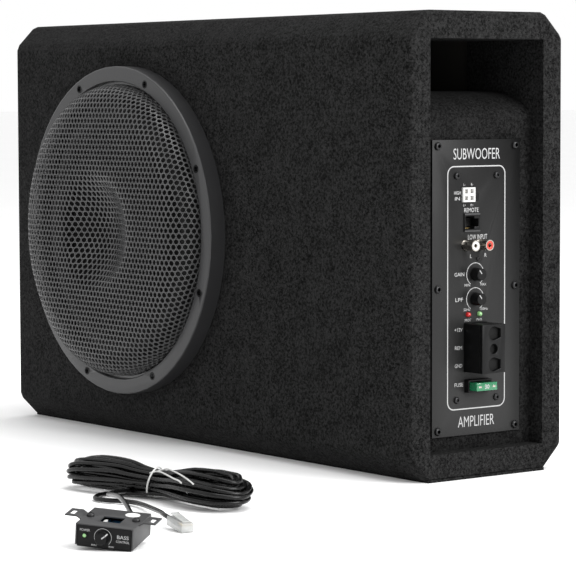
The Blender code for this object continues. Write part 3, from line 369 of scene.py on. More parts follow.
def gather(shapes):
    whole = bpy.data.meshes.new("gathered")
    every = bmesh.new()
    for shape in shapes:
        shape.to_mesh(whole)
        every.from_mesh(whole)
        shape.free()
    bpy.data.meshes.remove(whole)
    return every


def moved(shape, *steps):
    for step in steps:
        bmesh.ops.transform(shape, matrix=step, verts=shape.verts)
    return shape


def lathe(profile, steps=48, lay=None):
    """A profile of (radius, height) turned about local Z."""
    shape = bmesh.new()
    points = [shape.verts.new((radius, 0.0, height)) for radius, height in profile]
    edges = [shape.edges.new(pair) for pair in zip(points, points[1:])]
    bmesh.ops.spin(
        shape,
        geom=points + edges,
        cent=(0, 0, 0),
        axis=(0, 0, 1),
        angle=2 * math.pi,
        steps=steps,
        use_merge=True,
    )
    bmesh.ops.remove_doubles(shape, verts=shape.verts, dist=1e-6)
    if lay:
        moved(shape, lay)
    bmesh.ops.recalc_face_normals(shape, faces=shape.faces)
    return shape


def block(low, high, soft=0.0, segments=3):
    """A box between two corners, with its edges rounded."""
    shape = bmesh.new()
    bmesh.ops.create_cube(shape, size=1.0)
    size = Vector(high) - Vector(low)
    middle = (Vector(high) + Vector(low)) / 2
    moved(shape, Matrix.Diagonal((*size, 1.0)), place(*middle))
    if soft:
        bmesh.ops.bevel(
            shape,
            geom=shape.edges[:],
            offset=soft,
            segments=segments,
            profile=0.5,
            affect="EDGES",
            material=-1,
        )
    return shape


def body_of(node):
    for body, members in frame["record"]["behaviour"]["bodies"].items():
        if node in members:
            return body
    return "enclosure"


def smoothed(node, look=None, soft=0.0, angle=38.0, segments=2):
    """A merged copy of a CAD node, with its curved faces shaded smooth and its edges broken."""
    shape = bmesh.new()
    shape.from_mesh(nodes[node].data)
    bmesh.ops.remove_doubles(shape, verts=shape.verts, dist=1e-6)
    bmesh.ops.dissolve_limit(
        shape,
        angle_limit=math.radians(1.0),
        verts=shape.verts,
        edges=shape.edges,
    )
    if soft:
        sharp = [edge for edge in shape.edges if edge.calc_face_angle(0.0) > math.radians(50)]
        bmesh.ops.bevel(
            shape,
            geom=sharp,
            offset=soft,
            segments=segments,
            profile=0.5,
            affect="EDGES",
            clamp_overlap=True,
            material=-1,
        )
    return keep(shape, node + "_look", look or SLOTS[node], body_of(node), (node,), angle)


def lettering(text, middle, width, height, bold=0.0):
    """A flat word on a plane facing local +Z, made to an exact width and height."""
    font = bpy.data.curves.new("word", "FONT")
    font.body = text
    font.size = 1.0
    font.offset = bold
    font.resolution_u = 3
    made = bpy.data.objects.new("word", font)
    scene.collection.objects.link(made)
    graph = bpy.context.evaluated_depsgraph_get()
    mesh = bpy.data.meshes.new_from_object(made.evaluated_get(graph))
    shape = bmesh.new()
    shape.from_mesh(mesh)
    bpy.data.objects.remove(made)
    bpy.data.meshes.remove(mesh)
    bmesh.ops.remove_doubles(shape, verts=shape.verts, dist=1e-5)
    places = np.array([vert.co for vert in shape.verts])
    low, high = places.min(0), places.max(0)
    scale = ((width or height * (high[0] - low[0]) / (high[1] - low[1])) / (high[0] - low[0]),
             height / (high[1] - low[1]))
    moved(
        shape,
        place(-(low[0] + high[0]) / 2, -(low[1] + high[1]) / 2, 0),
        Matrix.Diagonal((scale[0], scale[1], 1, 1)),
        place(middle[0], middle[1], 0),
    )
    for face in shape.faces:
        if face.normal.z < 0:
            face.normal_flip()
    return shape


def frame_line(middle, width, height, corner, line):
    """A rounded rectangular outline of even thickness."""
    shape = bmesh.new()
    bmesh.ops.create_grid(shape, x_segments=1, y_segments=1, size=0.5)
    moved(shape, Matrix.Diagonal((width, height, 1, 1)))
    bmesh.ops.bevel(
        shape,
        geom=shape.verts[:],
        offset=corner,
        segments=8,
        profile=0.5,
        affect="VERTICES",
        material=-1,
    )
    face = max(shape.faces, key=lambda part: part.calc_area())
    bmesh.ops.inset_region(
        shape, faces=[face], thickness=line, use_even_offset=True, use_boundary=True
    )
    inner = max(shape.faces, key=lambda part: part.calc_area())
    bmesh.ops.delete(shape, geom=[inner], context="FACES")
    return moved(shape, place(*middle, 0))


def arc_line(middle, radius, start, end, line, count=28):
    """A printed arc between two angles, in degrees from straight up, clockwise."""
    shape = bmesh.new()
    bmesh.ops.create_grid(shape, x_segments=count, y_segments=1, size=0.5)
    for vert in shape.verts:
        angle = math.radians(start + (end - start) * (vert.co.x + 0.5))
        reach = radius + line * vert.co.y
        vert.co = (middle[0] + reach * math.sin(angle), middle[1] + reach * math.cos(angle), 0)
    bmesh.ops.recalc_face_normals(shape, faces=shape.faces)
    for face in shape.faces:
        face.normal_update()
        if face.normal.z < 0:
            face.normal_flip()
    return shape


def socket_screw(radius, height, key, depth, steps=24):
    """A button-head screw with a six-sided socket, its seat at z = 0."""
    shape = bmesh.new()
    rings = [(radius, 0.0), (radius, height * 0.28), (radius * 0.93, height * 0.66)]
    rings += [(radius * 0.74, height * 0.93), (radius * 0.62, height)]
    loops = []
    for reach, rise in rings + [(key, height), (key * 0.97, height - depth)]:
        made = bmesh.ops.create_circle(shape, segments=steps, radius=1.0)["verts"]
        for vert in made:
            angle = math.atan2(vert.co.y, vert.co.x)
            sector = (angle + math.pi / 6) % (math.pi / 3) - math.pi / 6
            flat = math.cos(math.pi / 6) / math.cos(sector) if reach <= key else 1.0
            vert.co = (reach * flat * math.cos(angle), reach * flat * math.sin(angle), rise)
        edges = {edge for vert in made for edge in vert.link_edges}
        loops.append(list(edges))
    for low, high in zip(loops, loops[1:]):
        bmesh.ops.bridge_loops(shape, edges=low + high)
    floor = [edge for edge in loops[-1] if edge.is_valid]
    bmesh.ops.edgeloop_fill(shape, edges=floor)
    bmesh.ops.recalc_face_normals(shape, faces=shape.faces)
    return shape


def knurled(profile, steps, bite, low, high, lay):
    """A turned knob whose side between two heights has fine upright ribs."""
    shape = lathe(profile, steps)
    for vert in shape.verts:
        if low < vert.co.z < high:
            column = round(math.atan2(vert.co.y, vert.co.x) / (2 * math.pi / steps))
            if column % 2:
                vert.co.x *= 1 - bite
                vert.co.y *= 1 - bite
    return moved(shape, lay)


def smooth_path(points, per_span):
    """A Catmull-Rom path through the given points."""
    spots = [Vector(point) for point in points]
    ends = [2 * spots[0] - spots[1], *spots, 2 * spots[-1] - spots[-2]]
    path = []
    for a, b, c, d in zip(ends, ends[1:], ends[2:], ends[3:]):
        for step in range(per_span):
            t = step / per_span
            first = 2 * b + (c - a) * t
            second = (2 * a - 5 * b + 4 * c - d) * t**2
            third = (3 * b - a - 3 * c + d) * t**3
            path.append((first + second + third) / 2)
    path.append(spots[-1])
    return path


def cord_piece(name, path, radius, look, body, stands_for=(), resolution=3):
    """A round cord along a path, as one open curve."""
    line = bpy.data.curves.new(name, "CURVE")
    line.dimensions = "3D"
    line.bevel_depth = radius
    line.bevel_resolution = resolution
    line.use_fill_caps = True
    spline = line.splines.new("POLY")
    spline.points.add(len(path) - 1)
    for target, spot in zip(spline.points, path):
        target.co = (*spot, 1.0)
    spline.use_smooth = True
    line.materials.append(LOOKS[look])
    made = bpy.data.objects.new(name, line)
    scene.collection.objects.link(made)
    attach(made, body)
    if stands_for:
        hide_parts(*stands_for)
    return made


# ================================================================ camera, light and floor
AZIMUTH, ELEVATION, ROLL = (math.radians(angle) for angle in (52.958, 4.124, -0.180))
across = Vector((math.cos(AZIMUTH), math.sin(AZIMUTH), 0))
ahead = Vector(
    (
        -math.sin(AZIMUTH) * math.cos(ELEVATION),
        math.cos(AZIMUTH) * math.cos(ELEVATION),
        -math.sin(ELEVATION),
    )
)
upright = across.cross(ahead)
right = across * math.cos(ROLL) + upright * math.sin(ROLL)
upper = upright * math.cos(ROLL) - across * math.sin(ROLL)
lens = bpy.data.cameras.new("camera")
lens.lens = 164.70
lens.sensor_width = 36.0
lens.clip_start = 0.05
lens.clip_end = 60.0
camera = bpy.data.objects.new("camera", lens)
scene.collection.objects.link(camera)
turned = Matrix((right, upper, -ahead)).transposed()
camera.matrix_world = place(1.7908, -1.3311, 0.2905) @ turned.to_4x4()
scene.camera = camera

world = bpy.data.worlds.new("studio")
world.use_nodes = True
world.node_tree.nodes["Background"].inputs["Color"].default_value = (1.0, 1.0, 1.0, 1.0)
world.node_tree.nodes["Background"].inputs["Strength"].default_value = 1.0
scene.world = world


def softbox(name, at, target, size, power):
    lamp = bpy.data.lights.new(name, "AREA")
    lamp.shape = "RECTANGLE"
    lamp.size, lamp.size_y = size
    lamp.energy = power
    made = bpy.data.objects.new(name, lamp)
    scene.collection.objects.link(made)
    made.location = at
    made.rotation_euler = (Vector(target) - Vector(at)).to_track_quat("-Z", "Y").to_euler()


softbox("top light", (0.4, 0.3, 2.4), (0.0, 0.0, 0.2), (2.2, 1.6), 34.0)
softbox("end light", (2.2, 0.5, 1.1), (0.25, 0.0, 0.15), (1.2, 1.4), 56.0)
softbox("front light", (-0.6, -2.4, 1.0), (-0.1, 0.0, 0.15), (1.6, 1.0), 5.0)

floor_shape = bmesh.new()
bmesh.ops.create_circle(floor_shape, cap_ends=True, segments=64, radius=70.0)
floor_mesh = bpy.data.meshes.new("floor")
floor_shape.to_mesh(floor_mesh)
floor_shape.free()
floor = bpy.data.objects.new("floor", floor_mesh)
scene.collection.objects.link(floor)
floor_look = Finish("pale floor", Roughness=0.9)
floor_look.wear(floor_look.blend(floor_look.noise(2.0), (0.93, 0.93, 0.93), (0.96, 0.96, 0.96)))
floor_mesh.materials.append(floor_look.material)

# ================================================================ places taken from the CAD
PANEL_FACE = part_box("amp_panel")[1].x
ring_low, ring_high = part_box("grille_ring")
FRONT_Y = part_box("carpet_wrap")[0].y
DRIVER = Vector(((ring_low.x + ring_high.x) / 2, FRONT_Y, (ring_low.z + ring_high.z) / 2))
AT_DRIVER = place(*DRIVER)
remote_knob_joint = next(j for j in frame["joints"] if j["name"] == "remote_knob_turn")
REMOTE_D, REMOTE_H = 0.0400, 0.0150
CABLE_EXIT = Vector((0.0038, REMOTE_D / 2, REMOTE_H * 0.58))
remote_turn = Euler((math.radians(6.0), math.radians(4.4), math.radians(39.6))).to_matrix()
knob_home = Vector(remote_knob_joint["pos_m"])
remote_home = knob_home - remote_turn @ Vector((-0.0007, -REMOTE_D / 2, REMOTE_H / 2))
ON_REMOTE = place(*remote_home) @ remote_turn.to_4x4()

# ================================================================ the cable
CABLE_R = 0.0017
HANK = place(0.2146, -0.2610, 0.0) @ Matrix.Rotation(math.radians(10.0), 4, "Z")
HANK_LENGTH = 0.188
# Share of length, sideways shift, half width, height, lift off the floor.
HANK_STATIONS = np.array(
    [
        (-0.500, 0.0000, 0.0045, 0.0120, 0.0030),
        (-0.470, 0.0000, 0.0108, 0.0200, 0.0010),
        (-0.410, 0.0000, 0.0162, 0.0260, 0.0000),
        (-0.310, 0.0000, 0.0180, 0.0270, 0.0000),
        (-0.190, 0.0000, 0.0153, 0.0260, 0.0005),
        (-0.090, 0.0000, 0.0135, 0.0215, 0.0015),
        (-0.055, 0.0000, 0.0120, 0.0200, 0.0020),
        (0.045, 0.0000, 0.0120, 0.0200, 0.0020),
        (0.085, -0.0001, 0.0140, 0.0215, 0.0015),
        (0.170, -0.0007, 0.0195, 0.0260, 0.0005),
        (0.290, -0.0021, 0.0250, 0.0275, 0.0000),
        (0.400, -0.0039, 0.0238, 0.0262, 0.0000),
        (0.470, -0.0054, 0.0150, 0.0205, 0.0010),
        (0.500, -0.0061, 0.0070, 0.0120, 0.0030),
    ]
)


def hank_section(share):
    return [np.interp(share, HANK_STATIONS[:, 0], HANK_STATIONS[:, k]) for k in range(1, 5)]


def hank_spot(x, y, z):
    return HANK @ Vector((x, y, z))


# Each turn of the hank keeps to one track: how many strands in from the outside, and how high.
TRACKS = [(2, 1), (2, 3), (2, 2), (1, 0), (1, 1), (1, 2), (1, 3), (1, 4)]
TRACKS += [(0, 4), (0, 3), (0, 2), (0, 1), (0, 0)]
LEVELS = 4


def track_spot(share, side, inner, level, wave):
    """A point on a turn: side is -1 on the front, +1 on the back and 0 at the ends."""
    shift, wide, tall, lift = hank_section(share)
    level_share = 0.08 + 0.84 * level / LEVELS
    z = lift + CABLE_R + level_share * (tall - 2 * CABLE_R)
    round_off = math.sqrt(max(0.16, 1 - (2 * level_share - 1) ** 2))
    step = 0.0039 if share > -0.12 else 0.0026
    y = max(0.0010, wide * round_off - CABLE_R - step * inner)
    return Vector(
        (
            share * HANK_LENGTH,
            shift + side * y + 0.0005 * math.sin(9 * share + wave),
            z + 0.0007 * math.sin(7 * share + 2 * wave),
        )
    )


def turn_spots(inner, level):
    """One turn from just left of the waist: left along the front, back along the rear."""
    level_share = 0.08 + 0.84 * level / LEVELS
    pinch = 1 - math.sqrt(max(0.16, 1 - (2 * level_share - 1) ** 2))
    left = -0.485 + 0.060 * pinch + 0.016 * inner
    right_end = 0.487 - 0.075 * pinch - 0.021 * inner
    spots = [(share, -1) for share in (-0.09, -0.17, -0.25, -0.33, left + 0.085, left + 0.035)]
    spots += [(left, 0)]
    spots += [(share, 1) for share in (left + 0.035, left + 0.085, -0.33, -0.25, -0.17, -0.09, 0.0)]
    spots += [(share, 1) for share in (0.09, 0.18, 0.28, right_end - 0.11, right_end - 0.045)]
    spots += [(right_end, 0)]
    spots += [(share, -1) for share in (right_end - 0.045, right_end - 0.11, 0.28, 0.18, 0.09, 0.0)]
    return spots


hank_path = []
previous = TRACKS[0]
for number, track in enumerate(TRACKS):
    spots = turn_spots(*track)
    for index, (share, side) in enumerate(spots):
        ease = min(1.0, index / 8.0)
        inner = previous[0] + (track[0] - previous[0]) * ease
        level = previous[1] + (track[1] - previous[1]) * ease
        wave = 1.7 * (number + index / len(spots))
        hank_path.append(HANK @ track_spot(share, side, inner, level, wave))
    previous = track
low_z = CABLE_R + 0.0006
plug_turn = Euler((0.0, math.radians(8.0), math.radians(-6.0))).to_matrix()
PLUG_L, PLUG_W, PLUG_H = 0.0215, 0.0096, 0.0066
plug_home = Vector((0.3330, -0.3295, PLUG_L * math.sin(math.radians(8.0))))
ON_PLUG = place(*plug_home) @ plug_turn.to_4x4()
lead_in = [
    ON_REMOTE @ (CABLE_EXIT - Vector((0, 0.0010, 0))),
    ON_REMOTE @ (CABLE_EXIT + Vector((0, 0.0100, 0.0004))),
    (0.3390, -0.3675, 0.0157),
    (0.3230, -0.3595, 0.0172),
    (0.3070, -0.3520, 0.0183),
    (0.2900, -0.3440, 0.0180),
    (0.2720, -0.3360, 0.0163),
    (0.2530, -0.3270, 0.0136),
    (0.2350, -0.3170, 0.0106),
    (0.2200, -0.3055, 0.0085),
    (0.2080, -0.2915, 0.0068),
    hank_spot(-0.0165, -0.0120, 0.0060),
    hank_spot(-0.0280, -0.0095, 0.0070),
]
lead_out = [
    hank_spot(0.0, -0.0090, 0.0050),
    hank_spot(-0.0160, -0.0095, 0.0035),
    hank_spot(-0.0280, -0.0120, low_z),
    hank_spot(-0.0335, -0.0200, low_z),
    (0.1895, -0.2965, low_z),
    (0.1985, -0.3045, low_z),
    (0.2110, -0.3035, low_z),
    (0.2240, -0.2965, low_z + 0.0002),
    (0.2390, -0.2955, low_z + 0.0006),
    (0.2560, -0.3000, low_z + 0.0013),
    (0.2740, -0.3070, low_z + 0.0025),
    (0.2920, -0.3145, low_z + 0.0038),
    (0.3080, -0.3218, low_z + 0.0051),
    ON_PLUG @ Vector((-0.0110, 0, PLUG_H / 2)),
    ON_PLUG @ Vector((0.0030, 0, PLUG_H / 2)),
]
cable_path = smooth_path(lead_in + hank_path[2:-1] + lead_out, 3)
cable_length = sum((b - a).length for a, b in zip(cable_path, cable_path[1:]))
cable = cord_piece(
    "remote_cable",
    cable_path,
    CABLE_R,
    "cable",
    "remote",
    ("remote_cord", "plug_cord", "cord_hank"),
)

# The twist tie round the waist, and its two twisted ends.
tie_path = []
for index in range(41):
    angle = math.pi / 2 + 2 * math.pi * index / 40
    y, z = 0.0128 * math.cos(angle), 0.0108 * math.sin(angle)
    tie_path.append(hank_spot(-0.0030 - 0.45 * y + 0.30 * z, y, 0.0120 + z))
tie_band = cord_piece("tie_band", tie_path, 0.0007, "white_nylon", "remote", ("cord_tie",))
tie_ends = []
for bend in (
    [(0.0019, -0.0084, 0.0200), (0.0083, -0.0070, 0.0216), (0.0158, -0.0060, 0.0238),
     (0.0285, -0.0120, 0.0240), (0.0409, -0.0180, 0.0236), (0.0530, -0.0225, 0.0218),
     (0.0630, -0.0262, 0.0196)],
    [(0.0010, -0.0086, 0.0196), (0.0081, -0.0076, 0.0214), (0.0219, -0.0135, 0.0214),
     (0.0373, -0.0208, 0.0206), (0.0450, -0.0232, 0.0200), (0.0502, -0.0254, 0.0190)],
):
    path = smooth_path([hank_spot(*spot) for spot in bend], 6)
    name = f"tie_end_{len(tie_ends) + 1}"
    tie_ends.append(cord_piece(name, path, 0.0006, "white_nylon", "remote"))

# The modular plug: a clear shell with its catch, contacts and the leads inside.
shell = block((0, -PLUG_W / 2, 0), (PLUG_L, PLUG_W / 2, PLUG_H), 0.0006)
catch = block((0.0020, -0.0030, PLUG_H - 0.0002), (0.0190, 0.0030, PLUG_H + 0.0008), 0.0003)
for vert in catch.verts:
    if vert.co.x < 0.010:
        vert.co.z += 0.0019 * (0.010 - vert.co.x) / 0.008
moulding = moved(gather([shell, catch]), ON_PLUG)
plug_shell = keep(moulding, "plug_shell", "clear_plastic", "remote", ("modular_plug",))
contacts = gather(
    [
        block(
            (PLUG_L - 0.0062, y - 0.00022, PLUG_H - 0.0022),
            (PLUG_L - 0.0006, y + 0.00022, PLUG_H - 0.0005),
        )
        for y in (-0.0032, -0.0019, -0.0006, 0.0006, 0.0019, 0.0032)
    ]
)
plug_contacts = keep(moved(contacts, ON_PLUG), "plug_contacts", "gold", "remote")
core_end = block(
    (0.0030, -0.0030, PLUG_H / 2 - 0.0009), (0.0150, 0.0030, PLUG_H / 2 + 0.0009), 0.0004
)
plug_core = keep(moved(core_end, ON_PLUG), "plug_core", "cable", "remote")

# ================================================================ the grille
dome_line = [
    (0.1246, 0.0112),
    (0.1244, 0.0150),
    (0.1240, 0.0178),
    (0.1229, 0.0222),
    (0.1214, 0.0255),
    (0.1190, 0.0288),
    (0.1160, 0.0314),
    (0.1120, 0.0337),
    (0.1066, 0.0356),
    (0.0990, 0.0366),
    (0.0860, 0.0371),
    (0.0600, 0.0372),
    (0.0520, 0.0370),
    (0.0475, 0.0362),
    (0.0432, 0.0340),
    (0.0370, 0.0300),
    (0.0290, 0.0257),
    (0.0200, 0.0219),
    (0.0100, 0.0192),
    (0.0, 0.0183),
]
dome = np.array(dome_line[::-1])


# Outside the flat ring the sheet is rolled over, so its cells keep their size down the wall.
reach = dome[:, 0].copy()
for row in range(1, len(reach)):
    if dome[row, 0] > 0.090:
        reach[row] = reach[row - 1] + math.hypot(*(dome[row] - dome[row - 1]))
SHEET_R = reach[-1]


PITCH = 0.00515
WEB = 0.00052  # half the width of a web
ROW = PITCH * math.sqrt(3) / 2
cell = bmesh.new()
bmesh.ops.create_circle(cell, cap_ends=True, segments=6, radius=PITCH / math.sqrt(3))
moved(cell, Matrix.Rotation(math.pi / 6, 4, "Z"))
bmesh.ops.inset_region(
    cell, faces=cell.faces[:], thickness=WEB, use_even_offset=True, use_boundary=True
)
hole = min(cell.faces, key=lambda part: part.calc_center_median().length)
bmesh.ops.delete(cell, geom=[hole], context="FACES_ONLY")
many = int(SHEET_R / PITCH) + 1
rows = int(SHEET_R / ROW) + 1
moved(cell, place(-many * PITCH, 0, 0))
bmesh.ops.spin(
    cell, geom=cell.verts[:] + cell.edges[:] + cell.faces[:], cent=(0, 0, 0), axis=(0, 0, 1),
    dvec=(PITCH, 0, 0), angle=0.0, steps=2 * many, use_duplicate=True,
)
sheet = []
for row in range(-rows, rows + 1):
    copy = cell.copy()
    sheet.append(moved(copy, place((row % 2) * PITCH / 2, row * ROW, 0)))
cell.free()
grille = gather(sheet)
bmesh.ops.remove_doubles(grille, verts=grille.verts, dist=1e-5)
outside = [vert for vert in grille.verts if vert.co.xy.length > SHEET_R]
bmesh.ops.delete(grille, geom=outside, context="VERTS")
for vert in grille.verts:
    along = max(vert.co.xy.length, 1e-6)
    radius = float(np.interp(along, reach, dome[:, 0]))
    rise = float(np.interp(along, reach, dome[:, 1]))
    vert.co = (vert.co.x * radius / along, vert.co.y * radius / along, rise)
for face in grille.faces:
    face.normal_update()
    if face.normal.z < 0:
        face.normal_flip()
bmesh.ops.solidify(grille, geom=grille.faces[:], thickness=0.0009)
moved(grille, OUT_FRONT, AT_DRIVER)
bmesh.ops.recalc_face_normals(grille, faces=grille.faces)
keep(grille, "grille_sheet", "mesh_paint", "enclosure", ("grille_mesh",), 32.0)
rim = lathe(
    [(0.1286, 0.0112), (0.1248, 0.0112), (0.1248, 0.0104), (0.1286, 0.0104), (0.1286, 0.0112)],
    128,
    OUT_FRONT,
)
keep(moved(rim, AT_DRIVER), "grille_rim", "mesh_paint", "enclosure")

driver_nodes = ["cone", "dust_cap", "surround", "grille_ring", "spacer_ring", "driver_basket"]
for node in [*driver_nodes, "ring_magnet", "top_plate", "back_plate"]:
    smoothed(node, angle=32.0)
WELL = [(0.0024, 0.0157), (0.0034, 0.0157), (0.0034, 0.0130), (0.0024, 0.0130), (0.0024, 0.0157)]
SHANK = [(0.0, -0.0165), (0.0010, -0.0160), (0.0015, -0.0140), (0.0015, 0.0093), (0.0, 0.0093)]
HEAD_SEAT = 0.0025  # from a screw's outer face to the seat of its head
for number in range(1, 9):
    low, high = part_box(f"ring_screw_{number}")
    x, z = (low.x + high.x) / 2, (low.z + high.z) / 2
    head = moved(
        socket_screw(0.0022, 0.0022, 0.0013, 0.0012), OUT_FRONT, place(x, low.y + HEAD_SEAT, z)
    )
    well = moved(lathe(WELL, 32, OUT_FRONT), place(x, DRIVER.y, z))
    keep(well, f"screw_well_{number}", "black_plastic", "enclosure")
    shank = moved(lathe(SHANK, 16, OUT_FRONT), place(x, DRIVER.y, z))
    screw = gather([head, shank])
    keep(screw, f"ring_bolt_{number}", "black_steel", "enclosure", (f"ring_screw_{number}",))

smoothed("carpet_wrap", angle=40.0)

# ================================================================ the amplifier panel
smoothed("amp_panel", soft=0.0004)
MM = 0.001
KNOB_Y = -0.0012
KNOBS_Z = {"level": 0.1553, "filter": 0.1362}
PHONO_Z = 0.1778
TERMINAL_Y, TERMINAL_Z, TERMINAL_PITCH = -0.0006, 0.0992, 0.0119
FUSE_Y, FUSE_Z = 0.0003, 0.0695
FUSE_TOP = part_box("blade_fuse")[1].x
INK_PROUD = 0.00008
THIN, THICK = -0.004, 0.004  # how far the edge of a stroke is drawn in or out
# Each word with its middle, width and height in millimetres; a width of None keeps the font's own.
words = [
    ("SUBWOOFER", (0.2, 247.6), 47.0, 8.4, THIN),
    ("AMPLIFIER", (0.0, 42.2), 36.8, 8.2, THIN),
    ("REMOTE", (-5.2, 204.6), 14.4, 3.4, THICK),
    ("LOW INPUT", (1.1, 183.9), 19.4, 3.8, THICK),
    ("L-", (-12.2, 224.2), None, 1.8, THICK),
    ("R-", (-4.6, 224.2), None, 1.8, THICK),
    ("L+", (-12.2, 208.4), None, 1.8, THICK),
    ("R+", (-4.6, 208.4), None, 1.8, THICK),
    ("HIGH", (-19.3, 218.0), 6.6, 2.6, THICK),
    ("IN", (-19.3, 213.6), 5.0, 2.6, THICK),
    ("L", (-5.6, 169.2), None, 2.8, THICK),
    ("R", (9.3, 169.6), None, 2.8, THICK),
    ("GAIN", (-17.2, 155.6), 9.8, 2.9, THICK),
    ("MIN", (-9.2, 147.1), 5.6, 2.0, THICK),
    ("MAX", (7.2, 147.1), 5.8, 2.0, THICK),
    ("LPF", (-17.4, 136.2), 7.6, 2.9, THICK),
    ("50Hz", (-9.6, 128.3), 6.6, 2.0, THICK),
    ("150Hz", (7.6, 128.3), 7.8, 2.0, THICK),
    ("PROT", (-8.4, 120.2), 6.4, 2.0, THICK),
    ("PWR", (3.1, 120.2), 5.6, 2.0, THICK),
    ("+12V", (-18.0, 113.2), 8.0, 2.8, THICK),
    ("REM", (-18.0, 99.3), 7.2, 2.8, THICK),
    ("GND", (-18.0, 85.5), 7.4, 2.8, THICK),
    ("FUSE", (-17.6, 70.9), 8.6, 2.9, THICK),
]
ink = [
    lettering(text, (y * MM, z * MM), width and width * MM, height * MM, bold)
    for text, (y, z), width, height, bold in words
]
ink.append(frame_line((0.0, 0.14505), 0.0588, 0.1869, 0.0065, 0.0009))
DIAL_END, TICKS = 145, 11
for z in KNOBS_Z.values():
    ink.append(arc_line((KNOB_Y, z), 0.0087, -DIAL_END, DIAL_END, 0.0005))
    for tick in range(TICKS):
        angle = math.radians(-DIAL_END + 2 * DIAL_END / (TICKS - 1) * tick)
        mark = block((-0.0002, 0.0082, 0), (0.0002, 0.0092, 0.00001))
        moved(mark, Matrix.Rotation(-angle, 4, "Z"), place(KNOB_Y, z, 0))
        hidden = [face for face in mark.faces if face.normal.z < 0.5]
        bmesh.ops.delete(mark, geom=hidden, context="FACES")
        ink.append(mark)
printed = moved(gather(ink), ON_PANEL, place(PANEL_FACE + INK_PROUD, 0, 0))
keep(printed, "panel_print", "ink", "enclosure", smooth=False)

screws = []
for y, z in [(side * 39.1, z) for z in (253.8, 145.1, 36.4) for side in (-1, 1)]:
    screws.append(moved(socket_screw(0.0031, 0.0022, 0.0016, 0.0014), place(y * MM, z * MM, 0)))
for y, z in [(side * 20.1, z) for z in (231.0, 59.2) for side in (-1, 1)]:
    screws.append(moved(socket_screw(0.0027, 0.0020, 0.0014, 0.0013), place(y * MM, z * MM, 0)))
screws.append(moved(socket_screw(0.0016, 0.0012, 0.0008, 0.0007), place(1.6 * MM, 167 * MM, 0)))
panel_screws = moved(gather(screws), ON_PANEL, place(PANEL_FACE - 0.00005, 0, 0))
keep(panel_screws, "panel_screws", "black_steel", "enclosure")

for node in ("speaker_input_socket", "remote_jack", "power_socket", "fuse_holder"):
    smoothed(node, soft=0.0002)
smoothed("power_plug", soft=0.0003)
smoothed("line_jacks")
smoothed("blade_fuse", soft=0.0003)
smoothed("warning_led")
smoothed("power_led")

# The catch of the speaker-level socket, and its four contact pins.
latch = block(
    (PANEL_FACE - 0.0004, -0.0021, 0.2118), (PANEL_FACE + 0.0012, 0.0018, 0.2172), 0.0003
)
keep(latch, "socket_latch", "black_plastic", "enclosure")
pins = gather(
    [
        block(
            (PANEL_FACE - 0.0068, -0.00845 + 0.0027 * a - 0.0005, 0.2164 + 0.0026 * b - 0.0005),
            (PANEL_FACE + 0.0002, -0.00845 + 0.0027 * a + 0.0005, 0.2164 + 0.0026 * b + 0.0005),
        )
        for a in (-1, 1)
        for b in (-1, 1)
    ]
)
keep(pins, "socket_pins", "nickel", "enclosure")

# Six sprung wires in the modular jack and the metal bars round its mouth.
wires = gather(
    [
        block(
            (PANEL_FACE - 0.0070, -0.0074 + 0.0011 * k - 0.0002, 0.1905),
            (PANEL_FACE - 0.0030, -0.0074 + 0.0011 * k + 0.0002, 0.1909),
        )
        for k in range(-2, 4)
    ]
)
keep(wires, "jack_wires", "gold", "enclosure")
bars = gather(
    [
        block(
            (PANEL_FACE - 0.0002, -0.0125, z - 0.0006),
            (PANEL_FACE + 0.0010, 0.0032, z + 0.0006),
            0.0002,
        )
        for z in (0.1885, 0.2015)
    ]
)
keep(bars, "jack_bars", "cover_steel", "enclosure")

# The coloured insulators in the mouths of the phono sockets.
JACK_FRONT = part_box("line_jacks")[1].x
INSULATOR = [(0.0016, -0.0010), (0.0016, -0.0002), (0.0019, 0.0001), (0.0032, 0.0001)]
INSULATOR += [(0.0037, -0.0003), (0.0037, -0.0010)]
for y, look, name in ((-0.0108, "white_nylon", "left"), (0.0034, "socket_red", "right")):
    disc = moved(lathe(INSULATOR, 40, OUT_END), place(JACK_FRONT, y, PHONO_Z))
    keep(disc, f"{name}_insulator", look, "enclosure")

# The two panel knobs.
KNOB_REST = math.radians(38.0)
for name, z in KNOBS_Z.items():
    shape = knurled(
        [
            (0.0, -0.0060), (0.0025, -0.0060), (0.0025, 0.0006), (0.0050, 0.0006), (0.0050, 0.0012),
            (0.0049, 0.0016), (0.0047, 0.0074), (0.0046, 0.0080), (0.0042, 0.0084), (0.0, 0.0084),
        ],
        60, 0.045, 0.0014, 0.0077, OUT_END,
    )
    moved(shape, place(PANEL_FACE, KNOB_Y, z))
    keep(shape, f"{name}_knob_look", "black_plastic", f"{name}_knob", (f"{name}_knob",), 30.0)
    line = block((0.0084, -0.00035, 0.0008), (0.00846, 0.00035, 0.0043))
    moved(line, Matrix.Rotation(KNOB_REST, 4, "X"), place(PANEL_FACE, KNOB_Y, z))
    keep(line, f"{name}_pointer", "ink", f"{name}_knob", smooth=False)

# The power plug's seam, and the plated sleeves in its wire holes.
plug_low, plug_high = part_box("power_plug")
seam = block(
    (plug_high.x - 0.0040, plug_low.y - 0.00015, plug_low.z - 0.00015),
    (plug_high.x - 0.0034, plug_high.y + 0.00015, plug_high.z + 0.00015),
)
keep(seam, "plug_seam", "rubber", "power_plug", smooth=False)
SLEEVE = [(0.0, 0.0), (0.0020, 0.0), (0.0020, 0.0030), (0.0015, 0.0030), (0.0015, 0.0005), (0.0, 0.0005)]
sleeves = [
    moved(
        lathe(SLEEVE, 20, OUT_END),
        place(plug_high.x - 0.0138, TERMINAL_Y, TERMINAL_Z + step * TERMINAL_PITCH),
    )
    for step in (-1, 0, 1)
]
keep(gather(sleeves), "wire_sleeves", "nickel", "power_plug")

